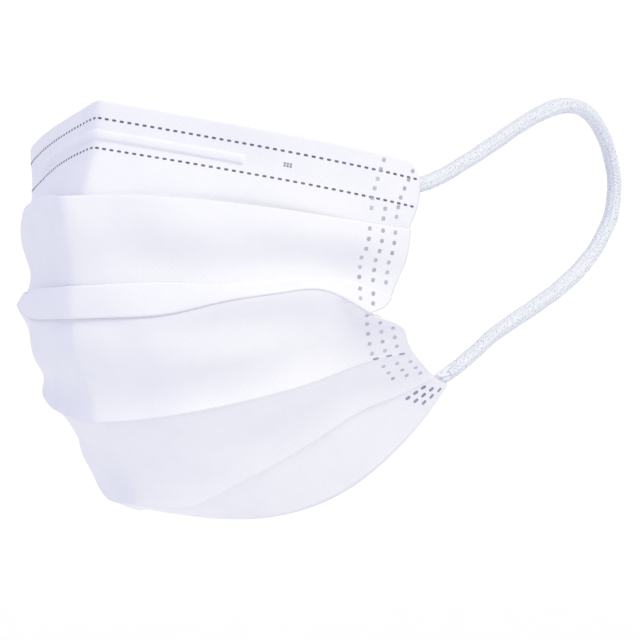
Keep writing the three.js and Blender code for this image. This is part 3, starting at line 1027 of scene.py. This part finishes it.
# Soft suns: where each shines from and how wide it is, in degrees, its strength and its colour
LIGHT_COLUMNS = ("name", "azimuth", "elevation", "spread", "strength", "colour")
LIGHTS = (
    ("key_light", 40, 58, 40, 0.80, (1.0, 0.96, 0.68)),
    ("side_light", 80, 40, 40, 0.80, (1.0, 0.97, 0.48)),
)
LIGHT_DISTANCE = 1.5
WORLD_COLOUR = (0.71, 0.73, 1.0)
WORLD_STRENGTH = 0.79
PAPER_GLOW = 0.155


class FACE_MASK_OT_studio(bpy.types.Operator):
    """Sets up the camera, the soft lights and the white paper that the mask is seen against"""

    bl_idname = "face_mask.studio"
    bl_label = "Studio"

    def execute(self, context):
        add_camera(context)
        add_lights(context)
        add_backdrop()
        return {"FINISHED"}


def add_camera(context):
    camera = bpy.data.objects.new("camera", bpy.data.cameras.new("camera"))
    camera.data.lens = CAMERA_LENS
    camera.data.sensor_width = SENSOR_WIDTH
    camera.data.clip_start = 0.01
    camera.location = CAMERA_PLACE
    camera.rotation_euler = CAMERA_TURN
    context.scene.collection.objects.link(camera)
    context.scene.camera = camera


def direction_from(azimuth, elevation):
    a, e = math.radians(azimuth), math.radians(elevation)
    return Vector((math.sin(a) * math.cos(e), -math.cos(a) * math.cos(e), math.sin(e)))


def add_lights(context):
    """Wide soft suns, which light the mask and the paper evenly."""
    for light in as_rows(LIGHT_COLUMNS, LIGHTS):
        data = bpy.data.lights.new(light["name"], "SUN")
        data.angle = math.radians(light["spread"])
        data.energy = light["strength"]
        data.color = light["colour"]
        lamp = bpy.data.objects.new(light["name"], data)
        towards = direction_from(light["azimuth"], light["elevation"])
        lamp.location = towards * LIGHT_DISTANCE
        lamp.rotation_euler = (-towards).to_track_quat("-Z", "Y").to_euler()
        context.scene.collection.objects.link(lamp)
    world = bpy.data.worlds.new("studio air")
    world.use_nodes = True
    background = world.node_tree.nodes["Background"]
    background.inputs["Color"].default_value = opaque(WORLD_COLOUR)
    background.inputs["Strength"].default_value = WORLD_STRENGTH
    context.scene.world = world
    context.scene.view_settings.view_transform = "Standard"


def add_backdrop():
    """One sheet of paper: a floor under the mask that bends up behind it."""
    turn = direction_from(CAMERA_AZIMUTH, 0)
    across = Vector((turn.y, -turn.x, 0))
    profile = [(FLOOR_FRONT, 0.0)]
    for i in range(BACKDROP_STEPS + 1):
        angle = math.pi / 2 * i / BACKDROP_STEPS
        profile.append((
            FLOOR_BACK - BACKDROP_BEND + BACKDROP_BEND * math.sin(angle),
            BACKDROP_BEND * (1 - math.cos(angle))))
    profile.append((FLOOR_BACK, BACKDROP_HEIGHT))
    points = []
    for away, height in profile:
        for side in (-1, 1):
            place = -turn * away + across * side * BACKDROP_HALF_WIDTH
            points.append((place.x, place.y, FLOOR_HEIGHT + height))
    backdrop = new_object("studio_paper", points, grid_faces(len(profile), 2), backdrop_material())


# Ear loops

class FACE_MASK_OT_ear_loops(bpy.types.Operator):
    """Knits the two round elastic ear loops along their routes and gives them their fuzz"""

    bl_idname = "face_mask.ear_loops"
    bl_label = "Ear loops"

    def execute(self, context):
        material = elastic_material("knitted elastic", relief=0.8, roughness=0.95)
        for side, route in LOOPS:
            build_loop(side, route, material)
        return {"FINISHED"}


def even_route(route, count):
    """The loop's smooth centre line, divided evenly."""
    knots = [np.array([place], float) for place in route]
    steps = [strip_shares(ROUTE_STEPS)] * (len(route) - 1)
    fine = np.concatenate(smooth_chain(knots, steps))
    reached = lengths_along(fine)
    wanted = np.linspace(0, reached[-1], count)
    return at_lengths(fine, reached, wanted), wanted


def frames_along(centres):
    """Direction, side and up of a tube at each of its centres, turning no more than the line does."""
    direction = unit(np.gradient(centres, axis=0))
    side = np.zeros_like(direction)
    side[0] = unit(np.cross(direction[0], (0, 0, 1)))
    for i in range(1, len(centres)):
        carried = side[i - 1] - direction[i] * (side[i - 1] @ direction[i])
        side[i] = unit(carried)
    return direction, side, np.cross(direction, side)


def knit_relief(reached, angle, seed):
    """Height of the knit at lengths along and angles round the cord: columns of leaning stitches."""
    wale = angle * KNIT_WALES / (2 * math.pi)
    column = np.floor(wale)
    within = wale - column - 0.5
    far, by_wale, pace = COURSE_JITTER
    jitter = far * np.sin(column * by_wale + seed + reached * pace)
    phase = reached / KNIT_COURSE - np.abs(within) * KNIT_LEAN + 0.5 * (column % 2) + jitter
    stitch = 0.5 + 0.5 * np.cos(2 * math.pi * phase)
    valley = np.cos(math.pi * within) ** 2
    share, fine, coarse = SLUBS
    slub = share * np.sin(reached * fine + seed) * np.sin(reached * coarse + angle + seed)
    return (stitch * (STITCH_LEAST + (1 - STITCH_LEAST) * valley) + slub) * KNIT_RELIEF


def build_loop(side, route, material):
    centres, reached = even_route(route, LOOP_RINGS)
    direction, across, up = frames_along(centres)
    seed = LOOP_SEEDS[side]
    long, round_it = np.meshgrid(reached, round_angles(LOOP_SIDES), indexing="ij")
    slack = sum(share * np.sin(long * pace + turn * seed) for share, pace, turn in SLACKS)
    radius = sizes().loop_diameter / 2 * (KNIT_LOFT + slack) + knit_relief(long, round_it, seed)
    oval, pace = OVALNESS
    radius *= 1 + oval * np.cos(2 * round_it + long * pace)
    ring = across[:, None] * np.cos(round_it)[..., None] + up[:, None] * np.sin(round_it)[..., None]
    points = (centres[:, None] + ring * radius[..., None]).reshape(-1, 3)
    faces = tube_faces(LOOP_RINGS, LOOP_SIDES, flipped=True)
    cord = new_object(f"knitted_loop_{side}", points, faces, material)
    set_yarn_uv(cord, reached / KNIT_COURSE, np.linspace(0, KNIT_WALES, LOOP_SIDES + 1))
    finish_piece(cord, "knitted_elastic", f"ear_loop_{side}")
    fuzz = build_fuzz(side, centres, direction, across, up, reached, material)


def build_fuzz(side, centres, direction, across, up, reached, material):
    """Stray filaments that stand off the knit, as thin three-sided hairs."""
    chance = np.random.default_rng(FUZZ_SEED + (side == "right"))
    at = chance.integers(FUZZ_END_RINGS, len(centres) - FUZZ_END_RINGS, FUZZ_HAIRS)
    angle = chance.uniform(0, 2 * math.pi, FUZZ_HAIRS)
    out = across[at] * np.cos(angle)[:, None] + up[at] * np.sin(angle)[:, None]
    root = centres[at] + out * sizes().loop_diameter / 2 * KNIT_LOFT
    lean = unit(
        out * chance.uniform(*FUZZ_OUT, (FUZZ_HAIRS, 1))
        + direction[at] * chance.uniform(*FUZZ_ALONG, (FUZZ_HAIRS, 1))
        + np.cross(direction[at], out) * chance.uniform(*FUZZ_ROUND, (FUZZ_HAIRS, 1)))
    curl = unit(chance.normal(size=(FUZZ_HAIRS, 3))) - FUZZ_HELD_DOWN * out
    length = chance.uniform(*FUZZ_LENGTHS, (FUZZ_HAIRS, 1))
    a = unit(np.cross(lean, out + 0.01))
    b = np.cross(lean, a)
    points = []
    for t in np.linspace(0, 1, FUZZ_STEPS):
        middle = root + lean * length * t + curl * length * FUZZ_CURL * t * t
        thick = FUZZ_RADIUS * (1 - FUZZ_TAPER * t)
        for turn in round_angles(3):
            points.append(middle + (a * math.cos(turn) + b * math.sin(turn)) * thick)
    points = np.stack(points, axis=1).reshape(-1, 3)
    hair = tube_faces(FUZZ_STEPS, 3, flipped=True)
    starts = range(0, len(points), FUZZ_STEPS * 3)
    faces = [[corner + start for corner in face] for start in starts for face in hair]
    fuzz = new_object(f"loop_fuzz_{side}", points, faces, material)
    long = np.repeat(reached[at], FUZZ_STEPS * 3)
    set_uv(fuzz, "Yarn", np.stack([long / KNIT_COURSE, long * 0 + 0.5], axis=-1))
    return finish_piece(fuzz, "knitted_elastic")


# Pressed loop ends

END_RINGS = 44
END_SIDES = 40

# Shares of the tab's length: its rounded start, where it starts to swell, and where it turns to its
# tip, a little way up the loop. There it is a little wider than the cord and less thick.
END_ROUNDED = 0.10
END_CLOSED = 0.96
END_FLAT_UNTIL = 0.62
END_TURNS_FROM = 0.80
END_TIP = 0.0010
END_WIDER = 1.06
END_FLATTER = 0.86
END_HALF_THICKNESS = 0.00042
END_SQUARENESS = 0.62
END_DIMPLE = 0.00016
END_DIMPLE_PITCH = 0.0012
NEARLY_SQUARE = 1e-3


class FACE_MASK_OT_loop_ends(bpy.types.Operator):
    """Presses the ends of the elastic flat where they are welded inside the corners"""

    bl_idname = "face_mask.loop_ends"
    bl_label = "Pressed loop ends"

    def execute(self, context):
        material = elastic_material("pressed elastic", relief=0.25, roughness=0.7)
        for side, route in LOOPS:
            places = np.array(route)
            build_end(f"loop_weld_top_{side}", places[0], places[1], material)
            build_end(f"loop_weld_bottom_{side}", places[-1], places[-2], material)
        return {"FINISHED"}


def box_axes(node):
    """Middle of a node's box-shaped solid and its three half sides, longest first."""
    corners = {tuple(round(x, 7) for x in v.co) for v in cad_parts[node].data.vertices}
    corners = np.array(sorted(corners))
    middle = corners.mean(0)
    away = corners[0] - corners
    order = np.argsort(np.linalg.norm(away, axis=1))
    sides = []
    for i in order[1:]:
        square = all(abs(unit(away[i]) @ unit(side)) < NEARLY_SQUARE for side in sides)
        if square and len(sides) < 3:
            sides.append(away[i])
    sides.sort(key=np.linalg.norm, reverse=True)
    return middle, [side / 2 for side in sides]


def build_end(node, start, onward, material):
    """A tab that is flat under the cloth and swells to the round cord where it leaves the edge."""
    middle, (long, wide, _) = box_axes(node)
    if long @ (start - middle) < 0:
        long = -long
    half = np.linalg.norm(long)
    forward, across = unit(long), unit(wide)
    up = np.cross(forward, across)
    tip = start + unit(onward - start) * END_TIP
    radius = sizes().loop_diameter / 2 * KNIT_LOFT * END_WIDER
    t = np.linspace(0, 1, END_RINGS)[:, None]
    swell = smoothstep(END_FLAT_UNTIL, 1, t)
    centre = middle + forward * half * (2 * t - 1)
    centre = centre + (tip - centre) * smoothstep(END_TURNS_FROM, 1, t)
    close = np.sqrt(1 - END_CLOSED * np.maximum(0, 1 - t / END_ROUNDED) ** 2)
    half_width = (np.linalg.norm(wide) * (1 - swell) + radius * swell) * close
    half_height = (END_HALF_THICKNESS * (1 - swell) + radius * END_FLATTER * swell) * close
    c, s = np.cos(round_angles(END_SIDES)), np.sin(round_angles(END_SIDES))
    power = END_SQUARENESS + (1 - END_SQUARENESS) * swell
    x = half_width * squared_off(c, power)
    turns = math.pi / END_DIMPLE_PITCH
    dimples = np.maximum(0, np.cos(turns * half * 2 * t) * np.cos(turns * x)) ** 2
    y = half_height * squared_off(s, power) - END_DIMPLE * (1 - swell) * dimples * s
    points = centre[:, None] + across * x[..., None] + up * y[..., None]
    faces = tube_faces(END_RINGS, END_SIDES, flipped=True)
    end = new_object(node.replace("loop_weld", "pressed_end"), points.reshape(-1, 3), faces, material)
    courses = np.linspace(0, 2 * half / KNIT_COURSE, END_RINGS)
    set_yarn_uv(end, courses, np.linspace(0, KNIT_WALES, END_SIDES + 1))
    finish_piece(end, "welded_elastic", node)


# Cloth body

class FACE_MASK_OT_cloth(bpy.types.Operator):
    """Folds the whole sheet of cloth: the hem, the five pleats and the panels between them"""

    bl_idname = "face_mask.cloth"
    bl_label = "Cloth"

    def execute(self, context):
        lines, grid = whole_sheet()
        count, width = grid.shape[:2]
        faces = grid_faces(count, width)
        cloth = new_object("pleated_cloth", grid.reshape(-1, 3), faces, cloth_material())
        set_uv(cloth, "Cloth", cloth_places(lines, grid))
        soften = cloth.modifiers.new("soft folds", "SUBSURF")
        soften.levels = 1
        soften.render_levels = 1
        thicken = cloth.modifiers.new("three layers", "SOLIDIFY")
        thicken.thickness = sizes().cloth
        thicken.offset = 0
        finish_piece(cloth, "nonwoven_cloth", "mask_body")
        return {"FINISHED"}


def cloth_places(lines, grid):
    """Where each point lies on the flat cloth: across from the crease, and down the sheet."""
    down = np.linalg.norm(np.diff(grid, axis=0), axis=2).mean(1)
    down = np.concatenate([[0], np.cumsum(down)])
    places = []
    for line, reached in zip(lines, down):
        across = np.concatenate([-line["lengths"][:0:-1], line["lengths"]])
        places.append(np.stack([across, np.full_like(across, reached)], axis=1))
    return np.concatenate(places)


# Nose strip

# The coat's cross-section: how much of the pocket's width it fills, how square it is, and how much of
# its thickness is left in the valley. It ends a little before its relief does.
STRIP_STEPS = 60
STRIP_SIDES = 24
STRIP_INSET = 0.0005
STRIP_FILLS = 0.92
STRIP_SQUARENESS = 0.6
STRIP_VALLEY = 0.72


class FACE_MASK_OT_nose_strip(bpy.types.Operator):
    """Lays the coated double wire in the pocket of the hem"""

    bl_idname = "face_mask.nose_strip"
    bl_label = "Nose strip"

    def execute(self, context):
        build_strip()
        return {"FINISHED"}


def strip_line():
    """The strip's middle line and its down and out directions, from one end to the other."""
    s = sizes()
    picked = hem_shares(np.linspace(0, s.strip_half_length - STRIP_INSET, STRIP_STEPS))
    top = row_line("top_edge", picked)
    line = row_line("hem_line", picked)
    down = unit(line - top)
    out = outward(row_direction("hem_line", picked), down, picked)
    depth = (s.cloth + s.layer_gap + s.strip_thickness - s.strip_relief) / 2
    middle = top + (line - top) * STRIP_HEIGHT - out * depth
    return soft_shape(both_halves(middle)), both_halves(down), both_halves(unit(out))


def build_strip():
    """Two wires side by side in one flat coat, with a shallow valley between them."""
    s = sizes()
    middle, down, out = strip_line()
    c, sine = np.cos(round_angles(STRIP_SIDES)), np.sin(round_angles(STRIP_SIDES))
    wide = s.strip_width / 2 * STRIP_FILLS * squared_off(c, STRIP_SQUARENESS)
    ridges = np.abs(np.sin(2 * math.pi * wide / s.strip_width))
    thick = s.strip_thickness / 2 * squared_off(sine, STRIP_SQUARENESS)
    thick = thick * (STRIP_VALLEY + (1 - STRIP_VALLEY) * ridges)
    points = middle[:, None] + down[:, None] * wide[:, None] + out[:, None] * thick[:, None]
    faces = tube_faces(len(middle), STRIP_SIDES)
    strip = new_object("coated_wire", points.reshape(-1, 3), faces, strip_material())
    finish_piece(strip, "nose_strip", "nose_wire")


# Pressed seals

# Heights of the dashed lines, as shares of the hem, the seals' sizes along their row and down the cloth,
# and the place and pitch of the small mark's blocks. Then a pad's outline, and its rings: how far out
# each lies and how far it stands off the cloth.
DASH_LINES = (0.37, 1.0)
DASH_SIZE = (0.00108, 0.00056)
SPOT_SIZE = (0.00102, 0.00108)
EDGE_DASH_SIZE = (0.0017, 0.00062)
CORNER_SIZE = (0.0015, 0.00095)
MARK_SIZE = (0.00060, 0.00050)
MARK_PITCH = (0.00076, 0.00064)
MARK_FROM_CREASE = 0.0494
MARK_HEIGHT = 0.66
PAD_SIDES = 16
PAD_SQUARENESS = 0.55
SEAL_RIM = 0.00005
SEAL_MIDDLE = SEAL_RIM * 0.35
SEAL_RINGS = ((1.0, -0.00002), (0.93, SEAL_RIM), (0.72, SEAL_RIM * 0.55), (0.4, SEAL_RIM * 0.4))
SEAL_RAY = 0.0028
SEAL_STEP = 0.0005

# Columns of spots down each side: how far each runs in from the side edge, whether it goes on up
# through the hem, and how much further in it starts at the top edge. Then the heights between which
# that fades out, and for each panel the spots' pitch, how many a column has at most, how many pitches
# down the first one is, and how much nearer the side edge the columns run.
SPOT_LINES = ((0.0108, True, 0.0042), (0.0071, False, 0.0011), (0.0035, True, 0.0015))
LEAN_HEIGHTS = (-0.040, -0.034, -0.027, -0.016)
LEAN_LOW = 0.0010
SPOT_PITCHES = (0.0025, 0.0026, 0.0025, 0.0030, 0.0034)
SPOT_COUNTS = (9, 9, 9, 9, 3)
EDGE_DASH_PANEL = 3
SPOTS_FROM = (0.5, 0.5, 0.5, 0.8, 1.05)
SPOT_SHIFTS = (0, 0, 0, 0, 0.0012)
EDGE_DASH_SHIFT = 0.0006
SPOT_ROOM = 0.0009
EDGE_MARGIN = 0.0009

# The block of spots over the loop's lower end: how far its first spot is from the side edge and below
# the lowest pleat, and the steps to the next spot in a row and to the next row.
CORNER_PANEL = 5
CORNER_START = (0.0093, 0.0019)
CORNER_ACROSS = (-0.0025, -0.0003)
CORNER_DOWN = (-0.0010, 0.0022)


class FACE_MASK_OT_seals(bpy.types.Operator):
    """Presses the hem's dashes, the spots along the sides and the small mark into the cloth"""

    bl_idname = "face_mask.seals"
    bl_label = "Pressed seals"

    def execute(self, context):
        cloth = bpy.data.objects["pleated_cloth"]
        tree = surface_of(cloth)
        shown = shown_panels(*whole_sheet())
        ink = colours()
        seals = [
            build_seals("hem_dashes", hem_dashes(), DASH_SIZE, tree, ink.hem_seal),
            build_seals("hem_mark", hem_mark(), MARK_SIZE, tree, ink.corner_seal),
            build_seals("side_spots", side_spots(shown), SPOT_SIZE, tree, ink.side_seal),
            build_seals("pleat_dashes", pleat_dashes(shown), EDGE_DASH_SIZE, tree, ink.corner_seal),
            build_seals("corner_spots", corner_spots(shown), CORNER_SIZE, tree, ink.corner_seal),
        ]
        return {"FINISHED"}


def shown_panels(lines, grid):
    """The near half's lines that show from outside, panel by panel."""
    half = grid.shape[1] // 2
    panels = [[] for _ in PANEL_LIST]
    for line, points in zip(lines, grid):
        if "panel" in line:
            panels[line["panel"]].append({
                "points": points[half:], "far": points[half::-1],
                "lengths": line["lengths"], "cut": line["cut"]})
    return panels


def on_line(line, reached, far):
    """The point of a line at a length from the crease, on the near or the far half."""
    return at_lengths(line["far"] if far else line["points"], line["lengths"], reached)


def seal_place(lines, i, reached, far):
    """Place, direction along the row and direction down, of a seal on line i of a panel."""
    here = on_line(lines[i], reached, far)
    along = on_line(lines[i], reached + SEAL_STEP, far) - on_line(lines[i], reached - SEAL_STEP, far)
    above = on_line(lines[max(i - 1, 0)], reached, far)
    below = on_line(lines[min(i + 1, len(lines) - 1)], reached, far)
    return here, unit(along), unit(below - above)


def on_hem(reached, height, far):
    """A seal's place on the hem, at a length from the crease and a share of the hem's height, and the
    whole length of its line. The dashes run straight on under the rounded corner."""
    shares = np.linspace(0, 1, FINE_STEPS)
    line = row_line("hem_line", shares)
    top = row_line("top_edge", shares)
    top[:, 2] += corner_drop(shares)
    hem = top + (line - top) * height
    length = lengths_along(hem)
    wanted = reached + SEAL_STEP * np.array((0, 1, -1))
    places = [at_lengths(hem, length, wanted)]
    places += [at_lengths(edge, length, [reached]) for edge in (top, line)]
    here, after, before, above, below = soft_shape(np.concatenate(places) * (MIRROR if far else 1))
    return here, unit(after - before), unit(below - above), length[-1]


def hem_dashes():
    """Two dashed lines along the hem, from side edge to side edge."""
    pitch = sizes().dash_pitch
    found = []
    for height in DASH_LINES:
        end = on_hem(0, height, False)[-1]
        for far in (False, True):
            for k in range(int(end / pitch)):
                found.append(on_hem(pitch * (k + 0.5), height, far)[:3])
    return found


def hem_mark():
    """The small grid of blocks on the left half of the hem."""
    hem = sizes().bridge_to_chin * ROW_NAMED["hem_line"]["drop"]
    return [
        on_hem(MARK_FROM_CREASE + i * MARK_PITCH[0], MARK_HEIGHT + j * MARK_PITCH[1] / hem, False)[:3]
        for i in (-1, 0, 1) for j in (-0.5, 0.5)]


def down_column(lines, from_edge, far, lean=0.0):
    """Places on each line of a panel at a distance from the side edge, None past the edge. Lean is how
    much further in the column is at the top edge."""
    places = []
    leans = (0, LEAN_LOW, LEAN_LOW, lean) if lean else (0, 0, 0, 0)
    for i, line in enumerate(lines):
        leaning = np.interp(line["points"][-1][2], LEAN_HEIGHTS, leans)
        reached = line["lengths"][-1] + line["cut"] - from_edge - leaning
        inside = reached < line["lengths"][-1] - EDGE_MARGIN
        places.append(seal_place(lines, i, reached, far) if inside else None)
    return places


def column_length(places):
    kept = [place[0] for place in places if place is not None]
    return lengths_along(np.array(kept))[-1] if len(kept) > 1 else 0


def walk_down(places, distance):
    """The place at a distance down a column, or None."""
    travelled = 0.0
    for before, after in zip(places, places[1:]):
        if before is None or after is None:
            continue
        step = np.linalg.norm(after[0] - before[0])
        if travelled + step >= distance:
            t = (distance - travelled) / step
            return tuple(a + (b - a) * t for a, b in zip(before, after))
        travelled += step
    return None


def side_spots(panels):
    """Columns of pressed spots down each side, as far as the lowest pleat."""
    found = []
    for from_edge, in_hem, lean in SPOT_LINES:
        for number, pitch in enumerate(SPOT_PITCHES):
            for far in (False, True):
                places = down_column(panels[number], from_edge - SPOT_SHIFTS[number], far, lean)
                if number == 0 and not in_hem:
                    below_hem = len(HEM_HEIGHTS) + 1
                    places[:below_hem] = [None] * below_hem
                room = column_length(places) - SPOT_ROOM
                wanted = [pitch * (k + SPOTS_FROM[number]) for k in range(SPOT_COUNTS[number])]
                spots = [walk_down(places, distance) for distance in wanted if distance < room]
                found += [spot for spot in spots if spot is not None]
    return found


def pleat_dashes(panels):
    """The seals on the edge of the lower pleat, where three layers lie over each other."""
    lines = panels[EDGE_DASH_PANEL]
    last = len(lines) - 2
    return [
        down_column(lines, from_edge - EDGE_DASH_SHIFT, far)[last]
        for from_edge, _, _ in SPOT_LINES for far in (False, True)]


def corner_spots(panels):
    """The slanting block of nine over the end of each ear loop."""
    found = []
    for far in (False, True):
        for row in range(3):
            for column in range(3):
                from_edge, down = (
                    CORNER_START[k] + CORNER_ACROSS[k] * column + CORNER_DOWN[k] * row for k in (0, 1))
                places = down_column(panels[CORNER_PANEL], from_edge, far)
                found.append(walk_down(places, down))
    return [spot for spot in found if spot is not None]


def pad_outline():
    """A rounded square, as shares of its half sides."""
    angles = 2 * math.pi * (np.arange(PAD_SIDES) + 0.5) / PAD_SIDES
    return list(zip(*(squared_off(wave(angles), PAD_SQUARENESS) for wave in (np.cos, np.sin))))


def build_seals(name, places, size, tree, colour):
    """Small dished pads laid on the cloth: a rim that stands a little proud round a pressed floor.
    A pad that would reach past the cloth's edge is left out."""
    points, faces = [], []
    for here, along, down in places:
        pad = seal_points(here, along, down, size, tree)
        if pad is None:
            continue
        faces += seal_faces(len(points))
        points += pad
    seals = new_object(name, points, faces, seal_material(name.replace("_", " "), colour))
    return finish_piece(seals, "nonwoven_cloth")


def seal_points(here, along, down, size, tree):
    """One pad's points, ring by ring and then the middle, or None where the cloth ends."""
    out = unit(np.cross(down, along))
    if out[0] * here[0] < 0:
        out = -out
    square = unit(np.cross(out, along))
    points = []
    for share, lift in SEAL_RINGS:
        for x, y in pad_outline():
            spot = here + along * x * share * size[0] / 2 + square * y * share * size[1] / 2
            points.append(on_cloth(tree, Vector(spot), Vector(out), lift))
    points.append(on_cloth(tree, Vector(here), Vector(out), SEAL_MIDDLE))
    return None if None in points else points


def seal_faces(start):
    """Faces of one pad whose points start at a number."""
    rings = grid_faces(len(SEAL_RINGS), PAD_SIDES, closed_rows=True)[:, ::-1] + start
    inner = start + (len(SEAL_RINGS) - 1) * PAD_SIDES
    fan = [(inner + k, inner + (k + 1) % PAD_SIDES, inner + PAD_SIDES) for k in range(PAD_SIDES)]
    return rings.tolist() + fan


def on_cloth(tree, spot, out, lift):
    """The point where a line towards the cloth meets its outside, raised by lift, or None."""
    hit, normal, _, _ = tree.ray_cast(spot + out * SEAL_RAY, -out, 2 * SEAL_RAY)
    if hit is None:
        return None
    if normal.dot(out) < 0:
        normal = -normal
    return tuple(hit + normal * lift)


# Sidebar panel and running

PIECES = (
    FACE_MASK_OT_studio, FACE_MASK_OT_ear_loops, FACE_MASK_OT_loop_ends,
    FACE_MASK_OT_cloth, FACE_MASK_OT_nose_strip, FACE_MASK_OT_seals,
)


class FACE_MASK_PT_pieces(bpy.types.Panel):
    """Lists the mask's pieces in the 3D view's sidebar"""

    bl_idname = "FACE_MASK_PT_pieces"
    bl_label = "Face mask"
    bl_space_type = "VIEW_3D"
    bl_region_type = "UI"
    bl_category = "Face mask"

    def draw(self, context):
        for piece in PIECES:
            self.layout.operator(piece.bl_idname)
        for group in (context.scene.mask_sizes, context.scene.mask_colours):
            box = self.layout.box()
            for name in group.__annotations__:
                box.prop(group, name)


CLASSES = (MaskSizes, MaskColours, *PIECES, FACE_MASK_PT_pieces)


def register():
    for one in CLASSES:
        bpy.utils.register_class(one)
    bpy.types.Scene.mask_sizes = PointerProperty(type=MaskSizes)
    bpy.types.Scene.mask_colours = PointerProperty(type=MaskColours)


def unregister():
    del bpy.types.Scene.mask_colours
    del bpy.types.Scene.mask_sizes
    for one in reversed(CLASSES):
        bpy.utils.unregister_class(one)


def main():
    register()
    bpy.ops.face_mask.studio()
    bpy.ops.face_mask.ear_loops()
    bpy.ops.face_mask.loop_ends()
    bpy.ops.face_mask.cloth()
    bpy.ops.face_mask.nose_strip()
    bpy.ops.face_mask.seals()


if __name__ == "__main__":
    main()
